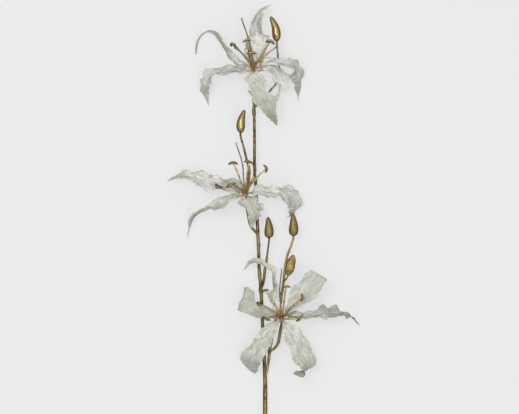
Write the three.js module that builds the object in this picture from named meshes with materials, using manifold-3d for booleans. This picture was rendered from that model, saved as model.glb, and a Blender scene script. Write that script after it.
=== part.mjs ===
// An artificial gloriosa lily spray, lying on a surface with its face up.
// Three blooms of six fabric petals and five gold buds sit on one branching stem.
//
// Frame: +Y runs along the stem from the cut end to the tip, +X is to its right,
// and +Z is up from the surface, out of the face of the blooms. Millimetres.
// The origin is on the surface, below the middle of the spray.

import * as THREE from "three";
import { mergeVertices } from "three/addons/utils/BufferGeometryUtils.js";
import Module from "manifold-3d";

const wasm = await Module();
wasm.setup();

// Driving dimensions.

const CLEARANCE = 0.3; // the gap kept between two pieces that touch

const STEM_SIDES = 8;
const STALK_SIDES = 7;
const STEM_STEP = 26; // the most between two rings of a stem
const LEAST_STEM_STEP = 2.5;
const STEM_RADII = [4.7, 4.4, 3.3, 3.3, 3.3, 2.9, 2.9, 2.2]; // from the cut end to the top bloom
const MIDDLE_BRANCH_RADII = [2.5, 2.9, 2.4, 2.1];
const LOWER_BRANCH_RADII = [2.4, 2.9, 2.9, 2.6, 2.2];
const STEM_END_STRAIGHT = 5; // how far a stem runs straight at a cup or a bud

const BUD_SIDES = 10;

const PETAL_THICKNESS = 0.8;
const PETAL_ROOT_HALF_WIDTH = 1.5;
const PETAL_HELD_HALF_WIDTH = 3.6;
const PETAL_ROOT_RADIUS = 3.3; // how far a petal starts from the bloom's axis
const PETAL_ROOT_HEIGHT = -0.5; // along the axis, from the bloom's centre
const PETAL_HELD_LENGTH = 9; // the straight stretch before the petal opens out
const PETAL_HELD_RISE = 1.5;
const PETAL_ALONG = 22; // steps along a petal's length
const PETAL_ACROSS = 4; // steps across its width
const EDGE_SHIFT = 2.1; // how far one edge's wave runs ahead of the other's, in radians
const EDGE_REACH = 0.08; // how much the wave moves an edge outward, as a share of the half width
const FULL_RUFFLE_HALF_WIDTH = 14; // a narrower stretch is ruffled less

const CUP_RADIUS = 4.9;
const CUP_RIM = 1.4;
const CUP_LENGTH = 9;
const CUP_NECK_RADIUS = 2.2;
const CUP_SIDES = 10;
const CUP_TOP = PETAL_ROOT_HEIGHT - PETAL_THICKNESS - CLEARANCE - 0.2;

const RING_RADIUS = 4.3;
const RING_TOP_RADIUS = 3.4;
const RING_HOLE_RADIUS = 2.4;
const RING_FLOOR = 0.5;
const RING_HEIGHT = 3.2;
const RING_SIDES = 12;
const FILAMENT_RADIUS = 1.25;
const FILAMENT_TAPER = 0.06; // lost at each of its steps
const FILAMENT_STEPS = 7;
const FILAMENT_SIDES = 5;
const FILAMENT_RISE = 12; // how far it follows the bloom's axis before it bends out
const FILAMENT_LEAN = 4;
const FILAMENT_ARCH = 3;
const ANTHER_LENGTH = 21;
const ANTHER_RADIUS = 2.2;
const ANTHER_SAG = 4.0; // how far an anther's two ends bend back
const ANTHER_STATIONS = [[-1, 0.2], [-0.72, 0.75], [-0.3, 1], [0.3, 1], [0.72, 0.75], [1, 0.2]];
const ANTHER_SIDES = 6;

const OVARY_LENGTH = 13;
// Stations of the ovary and the stigma are [share of the length, radius].
const OVARY_STATIONS = [[0, 1.6], [0.25, 1.9], [0.6, 2.0], [0.9, 1.7], [1, 1.0]];
const OVARY_SIDES = 7;
const STYLE_RADIUS = 0.95;
const STYLE_OVERLAP = 3; // how far the style starts inside the ovary
const STYLE_STEPS = 8;
const STIGMA_LENGTH = 8;
const STIGMA_SPREAD = 0.5; // sideways reach of a stigma branch, as a share of its length
const STIGMA_STATIONS = [[0, 0.86], [0.5, 0.71], [1, 0.48]];

const GOLD = new THREE.MeshStandardMaterial({ color: 0x9c8355, roughness: 0.42, metalness: 0.75 });
const DULL_GOLD = new THREE.MeshStandardMaterial({ color: 0x86745a, roughness: 0.6, metalness: 0.5 });
const CREAM_CLOTH = new THREE.MeshStandardMaterial({ color: 0xc3c5b8, roughness: 0.75, metalness: 0 });

// The stems, from the one that carries the rest. A route's points are [x, y, z].
// A knob is a small swelling: [how far up y, the side it points to in degrees, height, half length].
// "on" names the stem that a branch leaves, "ends" the bloom or the bud at its far end.
const STEMS = [
  {
    name: "main_stem",
    ends: "top",
    sides: STEM_SIDES,
    radii: STEM_RADII,
    route: [[3.2, -450, 4.7], [2.4, -372, 7.2], [2.4, -312, 9.6], [1.2, -276, 11], [-3, -190, 14.4],
      [-6, -124, 17], [-9.2, -90, 18.5], [-11, -44, 20.4], [-13.2, 12, 22.7], [-16, 76, 25.4],
      [-18.4, 106, 26.6], [-19.2, 196, 31], [-20, 242, 33], [-21.3, 276, 35], [-21.3, 289, 36]],
    knobs: [[-126, 20, 1.6, 8], [-92, 200, 0.9, 5], [-34, 160, 1.2, 6], [76, 20, 1.3, 7],
      [96, 150, 1.5, 6], [128, 40, 1.1, 6], [234, 60, 2.2, 9]],
  },
  {
    name: "middle_branch",
    on: "main_stem",
    ends: "bud_2",
    sides: STEM_SIDES,
    radii: MIDDLE_BRANCH_RADII,
    route: [[-12, -14, 21.7], [-17, -8, 25], [-26, 3, 29], [-33, 32, 32], [-35, 56, 33], [-34, 84, 34],
      [-29.5, 104, 35], [-30, 118, 36], [-35, 138, 37], [-41, 162, 38]],
    knobs: [[88, 30, 1.6, 7], [112, 40, 1.3, 6]],
  },
  {
    name: "lower_branch",
    on: "main_stem",
    ends: "bud_4",
    sides: STEM_SIDES,
    radii: LOWER_BRANCH_RADII,
    route: [[2, -302, 10], [7, -284, 11.5], [9.5, -266, 12.5], [12, -248, 13.5], [14, -234, 14],
      [20, -204, 15], [28, -168, 16], [34, -144, 18], [38.5, -114, 22], [46, -60, 30], [55, -34, 35.5]],
    knobs: [[-250, 30, 1.5, 7], [-136, 20, 1.4, 7]],
  },
  {
    name: "stalk_of_middle_bloom",
    on: "middle_branch",
    ends: "middle",
    sides: STALK_SIDES,
    radii: [2.2, 2.1, 2.0],
    route: [[-33.5, 38, 32.3], [-36.5, 48, 37]],
    knobs: [],
  },
  {
    name: "stalk_of_lower_bloom",
    on: "lower_branch",
    ends: "lower",
    sides: STALK_SIDES,
    radii: [2.2, 2.8, 3.1, 3.1, 1.8],
    route: [[12, -249, 13.4], [20, -244, 15], [28, -233, 20], [31.5, -216, 28]],
    knobs: [],
  },
  {
    name: "stalk_of_bud_1",
    on: "main_stem",
    ends: "bud_1",
    sides: STALK_SIDES,
    radii: [2.2, 2.1, 2.0, 1.9, 2.0],
    route: [[-19.8, 240, 33], [-9, 254, 31], [3, 266, 28], [15, 279, 26], [25, 291, 26],
      [30, 304, 26.5], [31, 320, 27.5], [28, 346, 30]],
    knobs: [],
  },
  {
    name: "stalk_of_bud_3",
    on: "main_stem",
    ends: "bud_3",
    sides: STALK_SIDES,
    radii: [2.4, 3.0, 2.8, 1.9, 1.9],
    route: [[-6, -126, 17], [-2, -112, 20], [0.5, -98, 22.5], [2, -84, 24.5], [5.5, -62, 28]],
    knobs: [],
  },
  {
    name: "stalk_of_bud_5",
    on: "lower_branch",
    ends: "bud_5",
    sides: STALK_SIDES,
    radii: [2.0, 1.8, 1.7],
    route: [[38.5, -116, 22], [41, -107, 30]],
    knobs: [],
  },
];

// Bud outlines: the share of the full radius at even steps from the base to the tip.
const BLUNT = [0.3, 0.8, 0.98, 1.0, 0.95, 0.88, 0.78, 0.66, 0.54, 0.38, 0.08];
const POINTED = [0.3, 0.85, 1.0, 0.97, 0.88, 0.76, 0.63, 0.5, 0.38, 0.25, 0.06];
const SPINDLE = [0.25, 0.6, 0.84, 0.97, 1.0, 0.97, 0.9, 0.8, 0.66, 0.46, 0.12];

// Buds: where the base and the tip are, and how far the middle bows to one side.
const BUDS = [
  { name: "bud_1", outline: BLUNT, radius: 8.6, base: [25.8, 375, 33.5], tip: [13, 425, 36], bow: [4, 1, 2] },
  { name: "bud_2", outline: BLUNT, radius: 8.6, base: [-47, 191, 39], tip: [-39, 237, 42], bow: [-3, 0, 2] },
  { name: "bud_3", outline: POINTED, radius: 9.8, base: [10, -20, 34], tip: [8, 22, 37], bow: [1, 0, 1.5] },
  { name: "bud_4", outline: POINTED, radius: 10, base: [59, -16, 38.5], tip: [58, 29, 41], bow: [1, 0, 1.5] },
  { name: "bud_5", outline: SPINDLE, radius: 8.8, base: [48, -95, 40], tip: [59, -54, 45], bow: [0, 0, 1] },
];

// Blooms. lean tilts the axis from straight up towards +Y.
// angle is where a petal leaves the cup, round the axis from +X.
// A petal's stations are [x, y, z, half width, roll, fold]: roll turns the blade about its midrib,
// and fold bends its two halves up from the midrib, both in degrees.
const BLOOMS = [
  {
    name: "top",
    centre: [-21, 318, 55],
    lean: 46,
    petals: [
      { way: "up", angle: 86, waves: 3, ruffle: 2.2, phase: 0.4, stations: [
        [-21, 336, 61, 15, 0, 5],
        [-18, 352, 66, 22, 0, 5],
        [-15, 370, 72, 23, 0, 0],
        [-12, 384, 74, 21, 0, -20],
        [-14, 400, 66, 19, 0, -45],
        [-14, 420, 52, 14, 0, -45],
        [-6, 435, 40, 8, 0, -30],
        [14, 449.4, 27, 1, 0, 0],
      ] },
      { way: "right", angle: 30, waves: 4, ruffle: 2.4, phase: 2.0, stations: [
        [-2, 331, 62, 8, 0, 10],
        [14, 335, 64, 8, -15, 15],
        [30, 332, 63, 10, -15, 15],
        [48, 329, 58, 12, -10, 10],
        [62, 324, 48, 15, 5, 5],
        [66, 308, 33, 17, 35, 0],
        [68, 291, 19, 12, 35, 5],
        [69, 274, 3, 6, 20, 5],
        [70, 257, -2, 1, 0, 0],
      ] },
      { way: "looped", angle: -28, waves: 4, ruffle: 2.5, phase: 1.0, stations: [
        [-4, 321, 49, 8, 0, 0],
        [10, 321, 46, 9, 10, 0],
        [24, 315, 44, 14, 20, 0],
        [33, 300, 43, 18, 35, 0],
        [36, 284, 44, 10, 50, 20],
        [33, 274, 46, 6, 50, 30],
        [26, 262, 48, 6, 40, 20],
        [12, 257, 50, 7, 10, 0],
        [-4, 260, 50, 8, 0, 0],
        [-20, 267, 49, 6, 0, 0],
        [-33, 276, 48, 1, 0, 0],
      ] },
      { way: "front", angle: -94, waves: 3, ruffle: 2.6, phase: 0.6, stations: [
        [-20, 304, 62, 16, 0, 5],
        [-12, 288, 68, 19, 0, 5],
        [-4, 272, 72, 18, 0, 5],
        [1, 258, 71, 20, 0, 0],
        [9, 242, 64, 16, 0, 0],
        [17, 224, 53, 9, 0, 10],
        [26, 206, 40, 1, 0, 0],
      ] },
      { way: "left", angle: 206, waves: 4, ruffle: 3, phase: 0.2, stations: [
        [-42, 315, 57, 9, 0, 5],
        [-58, 317, 58, 13, 0, 10],
        [-76, 313, 57, 16, 15, 10],
        [-94, 312, 52, 15, 10, 15],
        [-107, 305, 44, 16, -10, 10],
        [-116, 294, 34, 14, -45, 5],
        [-119, 280, 22, 12, -48, 5],
        [-117, 263, 5, 7, -45, 0],
        [-112, 247, -2, 1, -45, 0],
      ] },
      { way: "upper_left", angle: 146, waves: 3, ruffle: 2, phase: 1.4, stations: [
        [-44, 328, 61, 10, 0, 5],
        [-60, 333, 62, 14, 15, 30],
        [-72, 343, 58, 13, 35, 40],
        [-77, 355, 52, 11, 55, 45],
        [-84, 366, 46, 10, 60, 45],
        [-92, 379, 40, 9, 62, 45],
        [-101, 389, 34, 7, 68, 45],
        [-112, 394, 27, 4, 70, 45],
        [-125, 388, 20, 2.8, 70, 40],
        [-134, 374, 11, 2.2, 66, 35],
        [-138, 350, 0, 1, 60, 0],
      ] },
    ],
    stamens: [
      { to: [-34, 375, 94], anther: [1, 0.1, 0.3] },
      { to: [-24, 350, 108], anther: [1, 0, 0] },
      { to: [-56, 359, 94], anther: [0.3, -0.4, 0.85] },
      { to: [-63, 368, 80], anther: [0.3, 0.1, 0.95] },
      { to: [13, 376, 92], anther: [0.9, -0.35, 0] },
      { to: [26, 362, 88], anther: [0.8, 0.5, 0.4] },
    ],
    style: [[-25, 352, 74], [-33, 383, 84], [-43, 412, 88]],
  },
  {
    name: "middle",
    centre: [-38, 68, 55],
    lean: 46,
    petals: [
      { way: "right", angle: 14, waves: 5, ruffle: 3, phase: 0.4, stations: [
        [-20, 74, 58, 10, 0, 5],
        [-2, 75, 60, 13, 0, 10],
        [14, 71, 59, 16, -10, 15],
        [28, 71, 57, 13, 0, 15],
        [42, 69, 53, 18, 0, 5],
        [54, 61, 46, 20, 10, 0],
        [61, 49, 37, 19, 30, 0],
        [61, 38, 29, 16, 35, 0],
        [56, 27, 21, 9, 25, 10],
        [46, 20, 17, 1, 0, 0],
      ] },
      { way: "behind_up", angle: 78, waves: 3, ruffle: 2, phase: 0.4, stations: [
        [-44, 80, 46, 7, 0, 10],
        [-52, 86, 36, 10, 0, 20],
        [-62, 86, 22, 13, 0, 30],
        [-80, 86, 10, 15, 0, 30],
        [-100, 92, 6, 13, 0, 30],
        [-120, 101, 4, 8, 0, 20],
        [-136, 105, 3, 1, 0, 0],
      ] },
      { way: "left", angle: 150, waves: 5, ruffle: 3, phase: 2.2, stations: [
        [-56, 74, 59, 9, 0, 5],
        [-74, 80, 61, 11, 10, 10],
        [-92, 87, 61, 15, 0, 10],
        [-110, 90, 58, 19, -5, 10],
        [-126, 97, 54, 18, 0, 10],
        [-144, 104, 47, 13, 0, 10],
        [-166, 105, 38, 10, 0, 10],
        [-194, 95, 28, 1, 0, 0],
      ] },
      { way: "lower_left", angle: 208, waves: 3, ruffle: 3, phase: 0, stations: [
        [-54, 64, 58, 8, 0, 5],
        [-70, 60, 60, 11, 10, 10],
        [-84, 52, 60, 16, -5, 10],
        [-98, 44, 54, 13, 10, 15],
        [-110, 38, 48, 8, 50, 55],
        [-122, 33, 41, 9, 40, 55],
        [-134, 27, 33, 8, 10, 45],
        [-142, 19, 25, 7, 0, 45],
        [-149, 4, 11, 6, 0, 35],
        [-153, -8, 2, 4, 0, 5],
        [-155, -23, -2, 1, 0, 0],
      ] },
      { way: "behind_down", angle: 260, waves: 3, ruffle: 1.5, phase: 0.4, stations: [
        [-44, 56, 58, 6, 0, 10],
        [-46, 50, 52, 7, -10, 20],
        [-40, 46, 47, 6.5, -45, 20],
        [-30, 43, 44, 7, -80, 10],
        [-15, 41, 42, 8, -90, 0],
        [-4, 41, 40, 7.5, -90, 0],
        [-1, 41, 39, 6, -90, 0],
      ] },
      { way: "down", angle: 310, waves: 3, ruffle: 1.6, phase: 0.4, stations: [
        [-29, 60, 66, 12, 0, 0],
        [-26, 48, 76, 15, 0, -25],
        [-23, 36, 82, 16, 0, -30],
        [-20, 23, 80, 14, 0, -30],
        [-22, 11, 70, 8, 0, -20],
        [-26, 0, 56, 1, 0, 0],
      ] },
    ],
    stamens: [
      { to: [-62, 130, 70], anther: [1, 0.05, 0] },
      { to: [-30, 128, 74], anther: [0.95, -0.3, 0] },
      { to: [3, 117, 78], anther: [0.2, 0.9, 0.2] },
      { to: [-92, 82, 84], anther: [0.5, -0.6, 0.6] },
      { to: [-66, 88, 104], anther: [0.9, 0.3, 0] },
      { to: [-14, 92, 108], anther: [0.3, 0.9, 0] },
    ],
    style: [[-41, 100, 70], [-43, 128, 76], [-54, 164, 80]],
  },
  {
    name: "lower",
    centre: [35, -181.6, 51],
    lean: 42,
    petals: [
      { way: "up", angle: 102, waves: 3, ruffle: 1.4, phase: 0.4, stations: [
        [26, -164, 49, 8, 0, 10],
        [20, -148, 47, 10, 0, 20],
        [17, -134, 45, 12, 10, 30],
        [19, -120, 43, 10, 50, 50],
        [18, -106, 42, 7.5, 60, 45],
        [18, -94, 42, 7, 50, 45],
        [15, -84, 42, 9, 20, 40],
        [5, -77, 41, 7, 10, 50],
        [-6, -70, 38, 7, 0, 45],
        [-18, -67, 33, 7, 0, 40],
        [-30, -71, 26, 5, 0, 20],
        [-40, -84, 18, 1, 0, 0],
      ] },
      { way: "upper_right", angle: 48, waves: 3, ruffle: 1.6, phase: 0.4, stations: [
        [46, -167, 54, 7, 0, 5],
        [61, -151, 57, 15, 0, 5],
        [78, -130, 60, 21, 0, 5],
        [96, -109, 61, 23, 0, 0],
        [110, -93, 56, 19, 0, 0],
        [106, -104, 44, 14, 0, 10],
        [94, -120, 34, 8, 0, 10],
        [82, -136, 26, 1, 0, 0],
      ] },
      { way: "right", angle: -4, waves: 6, ruffle: 3, phase: 0.4, stations: [
        [54, -177, 53, 10, 10, 5],
        [70, -176, 51, 11, 8, 10],
        [84, -176, 48, 9.5, 12, 15],
        [98, -174, 45, 9, 12, 15],
        [110, -172, 42, 12, 0, 15],
        [123, -170, 38, 18, -5, 5],
        [136, -171, 34, 19, -5, 5],
        [149, -170, 29, 17, -10, 10],
        [162, -174, 21, 13, -20, 10],
        [174, -178, 13, 8, -20, 10],
        [184, -187, 2, 5, -5, 5],
        [194, -198, -2, 1, 0, 0],
      ] },
      { way: "lower_right", angle: -60, waves: 4, ruffle: 2, phase: 0.4, stations: [
        [45, -196, 57, 11, 0, 5],
        [58, -215, 61, 20, 0, 5],
        [68, -236, 62, 23, 0, 0],
        [80, -256, 60, 24, 0, 0],
        [87, -274, 54, 19, 0, 0],
        [82, -290, 48, 9, 0, 20],
        [63, -294, 46, 1, 0, 0],
      ] },
      { way: "lower_left", angle: 238, waves: 3, ruffle: 2, phase: 0.4, stations: [
        [18, -197, 56, 13, 0, 5],
        [6, -211, 58, 18, 0, 5],
        [-3, -230, 56, 19, 0, 5],
        [-17, -249, 50, 22, 0, 0],
        [-27, -266, 38, 22, -18, 0],
        [-26, -278, 27, 17, -32, 0],
        [-22, -287, 18, 10, -35, 0],
        [-18, -294, 11, 1, -35, 0],
      ] },
      { way: "left", angle: 170, waves: 2, ruffle: 1.6, phase: 0.4, stations: [
        [22, -178, 54, 7, 0, 5],
        [10, -173, 51, 11, -20, 20],
        [-3, -168, 47, 14, -30, 20],
        [-17, -161, 44, 19, -40, 10],
        [-31, -151, 41, 25, -42, 0],
        [-45, -145, 35, 25, -42, 0],
        [-43, -147, 23, 19, -42, 0],
        [-31, -152, 13, 11, -42, 0],
        [-19, -156, 9, 1, -42, 0],
      ] },
    ],
    stamens: [
      { to: [4, -180, 106], anther: [0.9, -0.1, 0.4] },
      { to: [-12, -150, 84], anther: [0.6, -0.6, 0.5] },
      { to: [2, -124, 66], anther: [0.8, 0.5, 0.2] },
      { to: [44, -116, 86], anther: [1, 0.1, 0] },
      { to: [76, -142, 84], anther: [0.5, -0.8, 0.2] },
      { to: [72, -180, 102], anther: [0.5, 0.8, 0.3] },
    ],
    style: [[33, -150, 66], [31, -126, 74], [35, -86, 80]],
  },
];

const vec = (point) => new THREE.Vector3(...point);
const radians = THREE.MathUtils.degToRad;
const evenSteps = (count) => Array.from({ length: count + 1 }, (_, i) => i / count);

// A value read from a short list whose entries are spread evenly from 0 to 1.
function spread(list, t) {
  const place = Math.min(Math.max(t, 0), 1) * (list.length - 1);
  const low = Math.min(Math.floor(place), list.length - 2);
  const share = place - low;
  const eased = share * share * (3 - 2 * share);
  return list[low] * (1 - eased) + list[low + 1] * eased;
}

// Frames along a curve that don't turn about it: one tangent and one normal for each station.
function carriedFrames(points, firstNormal) {
  const tangents = points.map((point, i) => {
    const after = points[Math.min(i + 1, points.length - 1)];
    const before = points[Math.max(i - 1, 0)];
    return after.clone().sub(before).normalize();
  });
  let normal = firstNormal.clone().addScaledVector(tangents[0], -firstNormal.dot(tangents[0])).normalize();
  const normals = tangents.map((tangent, i) => {
    if (i > 0) {
      const turn = new THREE.Quaternion().setFromUnitVectors(tangents[i - 1], tangent);
      normal = normal.clone().applyQuaternion(turn);
    }
    return normal;
  });
  return { tangents, normals };
}

function bufferOf(positions, triangles) {
  const geometry = new THREE.BufferGeometry();
  geometry.setAttribute("position", new THREE.Float32BufferAttribute(positions, 3));
  geometry.setIndex(triangles);
  return geometry;
}

// A closed body through a row of rings that all have the same number of points.
function loft(rings) {
  const count = rings[0].length;
  const positions = rings.flat().flatMap((p) => [p.x, p.y, p.z]);
  const triangles = [];
  for (let i = 0; i < rings.length - 1; i++) {
    for (let j = 0; j < count; j++) {
      const a = i * count + j;
      const b = i * count + ((j + 1) % count);
      triangles.push(a, b, b + count, a, b + count, a + count);
    }
  }
  const last = (rings.length - 1) * count;
  for (let j = 1; j < count - 1; j++) {
    triangles.push(0, j + 1, j);
    triangles.push(last, last + j, last + j + 1);
  }
  return bufferOf(positions, triangles);
}

// A round bar along points, with a radius for each point that may also depend on the side.
function bar(points, radiusAt, sides) {
  const nearlyUp = new THREE.Vector3(0.05, 0, 1);
  const { tangents, normals } = carriedFrames(points, nearlyUp);
  const rings = points.map((point, i) => {
    const side = new THREE.Vector3().crossVectors(normals[i], tangents[i]);
    return Array.from({ length: sides }, (_, j) => {
      const angle = (2 * Math.PI * j) / sides;
      const out = side.clone().multiplyScalar(Math.cos(angle)).addScaledVector(normals[i], Math.sin(angle));
      return point.clone().addScaledVector(out, radiusAt(i, angle));
    });
  });
  return loft(rings);
}

function solidOf(geometry) {
  const plain = geometry.clone();
  plain.deleteAttribute("normal");
  plain.deleteAttribute("uv");
  const merged = mergeVertices(plain, 1e-4);
  return new wasm.Manifold(
    new wasm.Mesh({
      numProp: 3,
      vertProperties: new Float32Array(merged.attributes.position.array),
      triVerts: new Uint32Array(merged.index.array),
    }),
  );
}

function geometryOf(solid) {
  const mesh = solid.getMesh();
  const positions = [];
  for (let i = 0; i < mesh.numVert; i++) {
    positions.push(...mesh.vertProperties.subarray(i * mesh.numProp, i * mesh.numProp + 3));
  }
  return bufferOf(positions, Array.from(mesh.triVerts));
}

const group = new THREE.Group();

function add(name, geometry, material) {
  geometry.computeVertexNormals();
  const mesh = new THREE.Mesh(geometry, material);
  mesh.name = name;
  group.add(mesh);
}

// A bloom's own directions: its axis, and the two across it.
function directionsOf(bloom) {
  const lean = radians(bloom.lean);
  const axis = new THREE.Vector3(0, Math.sin(lean), Math.cos(lean));
  const right = new THREE.Vector3(1, 0, 0);
  const up = new THREE.Vector3().crossVectors(axis, right);
  return { axis, right, up };
}

const pointOnAxis = (bloom, distance) =>
  vec(bloom.centre).addScaledVector(directionsOf(bloom).axis, distance);

// The buds: round bodies that are fullest near the base and bend to a narrow tip.
function budPoints(bud) {
  const base = vec(bud.base);
  const tip = vec(bud.tip);
  const middle = base.clone().lerp(tip, 0.5).add(vec(bud.bow));
  const curve = new THREE.CatmullRomCurve3([base, middle, tip]);
  return evenSteps(bud.outline.length - 1).map((t) => curve.getPointAt(t));
}

for (const bud of BUDS) {
  add(bud.name, bar(budPoints(bud), (i) => bud.radius * bud.outline[i], BUD_SIDES), GOLD);
}

// The stems: a bar along a smooth route, with swellings where shoots once left it.
// Each ends just short of a cup or a bud, square to it, and leaves a gap to the stem it grows from.
function farEndOf(stem) {
  const bloom = BLOOMS.find((one) => one.name === stem.ends);
  if (bloom) {
    return { at: pointOnAxis(bloom, CUP_TOP - CUP_LENGTH), way: directionsOf(bloom).axis };
  }
  const [base, next] = budPoints(BUDS.find((one) => one.name === stem.ends));
  return { at: base, way: next.clone().sub(base).normalize() };
}

function stationsOf(stem) {
  const { at, way } = farEndOf(stem);
  const route = [...stem.route.map(vec), at.clone().addScaledVector(way, -STEM_END_STRAIGHT), at];
  const curve = new THREE.CatmullRomCurve3(route, false, "centripetal");
  const length = curve.getLength();
  const shares = evenSteps(Math.ceil(length / STEM_STEP));
  for (const [y, , , halfLength] of stem.knobs) {
    const far = (t) => Math.abs(curve.getPointAt(t).y - y);
    const middle = evenSteps(400).reduce((best, t) => (far(t) < far(best) ? t : best));
    for (const shift of [-1, -0.5, 0, 0.5, 1]) {
      shares.push(middle + (shift * halfLength) / length);
    }
  }
  const least = LEAST_STEM_STEP / length;
  const kept = shares
    .filter((t) => t >= 0 && t <= 1)
    .sort((a, b) => a - b)
    .filter((t, i, all) => i === 0 || t === 1 || (t - all[i - 1] > least && 1 - t > least));
  return { shares: kept, points: kept.map((t) => curve.getPointAt(t)) };
}

function stemGeometry(stem, extra = 0) {
  const { shares, points } = stationsOf(stem);
  const radiusAt = (i, angle) => {
    const swell = stem.knobs.reduce((sum, [y, side, height, halfLength]) => {
      const far = (points[i].y - y) / halfLength;
      return sum + height * Math.exp(-2 * far * far) * (0.5 + 0.5 * Math.cos(angle - radians(side)));
    }, 0);
    return spread(stem.radii, shares[i]) + swell + extra;
  };
  return bar(points, radiusAt, stem.sides);
}

for (const stem of STEMS) {
  let solid = solidOf(stemGeometry(stem));
  if (stem.on) {
    const carrier = STEMS.find((one) => one.name === stem.on);
    const pieces = solid.subtract(solidOf(stemGeometry(carrier, CLEARANCE))).decompose();
    solid = pieces.reduce((best, piece) => (piece.volume() > best.volume() ? piece : best));
  }
  const { at, way } = farEndOf(stem);
  const back = way.clone().negate();
  solid = solid.trimByPlane(back.toArray(), back.dot(at) + CLEARANCE);
  add(stem.name, geometryOf(solid), DULL_GOLD);
}

// The petals: thin blades along their stations, narrow where they are held, with ruffled edges.
function petalGrid(bloom, petal) {
  const { axis, right, up } = directionsOf(bloom);
  const angle = radians(petal.angle);
  const outward = right.clone().multiplyScalar(Math.cos(angle)).addScaledVector(up, Math.sin(angle));
  const root = pointOnAxis(bloom, PETAL_ROOT_HEIGHT).addScaledVector(outward, PETAL_ROOT_RADIUS);
  const held = root.clone()
    .addScaledVector(outward, PETAL_HELD_LENGTH)
    .addScaledVector(axis, PETAL_HELD_RISE);
  const stations = [
    [...root, PETAL_ROOT_HALF_WIDTH, 0, 0],
    [...held, PETAL_HELD_HALF_WIDTH, 0, 0],
    ...petal.stations,
  ];
  const midrib = stations.map(([x, y, z]) => new THREE.Vector3(x, y, z));
  const curve = new THREE.CatmullRomCurve3(midrib, false, "centripetal");
  const shares = evenSteps(PETAL_ALONG);
  const points = shares.map((t) => curve.getPointAt(t));
  const { tangents, normals } = carriedFrames(points, axis);
  return points.map((point, i) => {
    const t = shares[i];
    const column = (k) => spread(stations.map((station) => station[k]), curve.getUtoTmapping(t));
    const [halfWidth, roll, fold] = [column(3), radians(column(4)), radians(column(5))];
    const normal = normals[i].clone().applyAxisAngle(tangents[i], roll);
    const side = new THREE.Vector3().crossVectors(normal, tangents[i]);
    const ruffle = petal.ruffle * Math.min(1, halfWidth / FULL_RUFFLE_HALF_WIDTH);
    return evenSteps(PETAL_ACROSS).map((share) => {
      const across = 2 * share - 1;
      const ahead = across > 0 ? EDGE_SHIFT : 0;
      const wave = Math.sin(2 * Math.PI * petal.waves * t + petal.phase + ahead);
      const reach = halfWidth * across * (1 + EDGE_REACH * wave * Math.abs(across));
      const lift = Math.abs(reach) * Math.sin(fold) + ruffle * wave * across ** 2;
      return point.clone().addScaledVector(side, reach * Math.cos(fold)).addScaledVector(normal, lift);
    });
  });
}

// Both faces of a blade have the same triangles, so they stay one thickness apart where it is waved.
// Where a tip touches the surface it lies flat on it.
function bladeGeometry(grid) {
  const rows = grid.length;
  const columns = grid[0].length;
  const at = (i, j) => grid[Math.min(Math.max(i, 0), rows - 1)][Math.min(Math.max(j, 0), columns - 1)];
  const front = [];
  const back = [];
  for (let i = 0; i < rows; i++) {
    for (let j = 0; j < columns; j++) {
      const along = at(i + 1, j).clone().sub(at(i - 1, j));
      const across = at(i, j + 1).clone().sub(at(i, j - 1));
      const normal = new THREE.Vector3().crossVectors(along, across).normalize();
      const upper = at(i, j).clone();
      const lower = upper.clone().addScaledVector(normal, -PETAL_THICKNESS);
      const [below, above] = normal.z < 0 ? [upper, lower] : [lower, upper];
      below.z = Math.max(below.z, 0);
      above.z = Math.max(above.z, PETAL_THICKNESS);
      front.push(upper.x, upper.y, upper.z);
      back.push(lower.x, lower.y, lower.z);
    }
  }
  const size = rows * columns;
  const triangles = [];
  for (let i = 0; i < rows - 1; i++) {
    for (let j = 0; j < columns - 1; j++) {
      const a = i * columns + j;
      const b = a + 1;
      const c = b + columns;
      const d = a + columns;
      triangles.push(a, d, c, a, c, b);
      triangles.push(a + size, c + size, d + size, a + size, b + size, c + size);
    }
  }
  const rim = [];
  for (let j = 0; j < columns - 1; j++) {
    rim.push(j);
  }
  for (let i = 0; i < rows - 1; i++) {
    rim.push(i * columns + columns - 1);
  }
  for (let j = columns - 1; j > 0; j--) {
    rim.push((rows - 1) * columns + j);
  }
  for (let i = rows - 1; i > 0; i--) {
    rim.push(i * columns);
  }
  rim.forEach((a, k) => {
    const b = rim[(k + 1) % rim.length];
    triangles.push(a, b, b + size, a, b + size, a + size);
  });
  return bufferOf([...front, ...back], triangles);
}

// The cup that holds the petals, the ring with its stamens, and the pistil in the ring's hole.
function turnedOnAxis(bloom, profile, sides) {
  const { axis, right, up } = directionsOf(bloom);
  const outline = profile.map(([radius, height]) => new THREE.Vector2(radius, height));
  const matrix = new THREE.Matrix4().makeBasis(right, up, axis).setPosition(vec(bloom.centre));
  return new THREE.LatheGeometry(outline, sides).rotateX(Math.PI / 2).applyMatrix4(matrix);
}

function cupGeometry(bloom) {
  return turnedOnAxis(bloom, [
    [0, CUP_TOP - CUP_LENGTH],
    [CUP_NECK_RADIUS, CUP_TOP - CUP_LENGTH],
    [CUP_NECK_RADIUS * 1.3, CUP_TOP - CUP_LENGTH * 0.6],
    [CUP_RADIUS, CUP_TOP - CUP_RIM],
    [CUP_RADIUS, CUP_TOP],
    [0, CUP_TOP],
  ], CUP_SIDES);
}

function antherGeometry(filamentEnd, filamentWay, direction) {
  const along = vec(direction).normalize();
  const points = ANTHER_STATIONS.map(([share]) =>
    filamentEnd.clone()
      .addScaledVector(along, (share * ANTHER_LENGTH) / 2)
      .addScaledVector(filamentWay, -ANTHER_SAG * share * share));
  return bar(points, (i) => ANTHER_RADIUS * ANTHER_STATIONS[i][1], ANTHER_SIDES);
}

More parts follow.
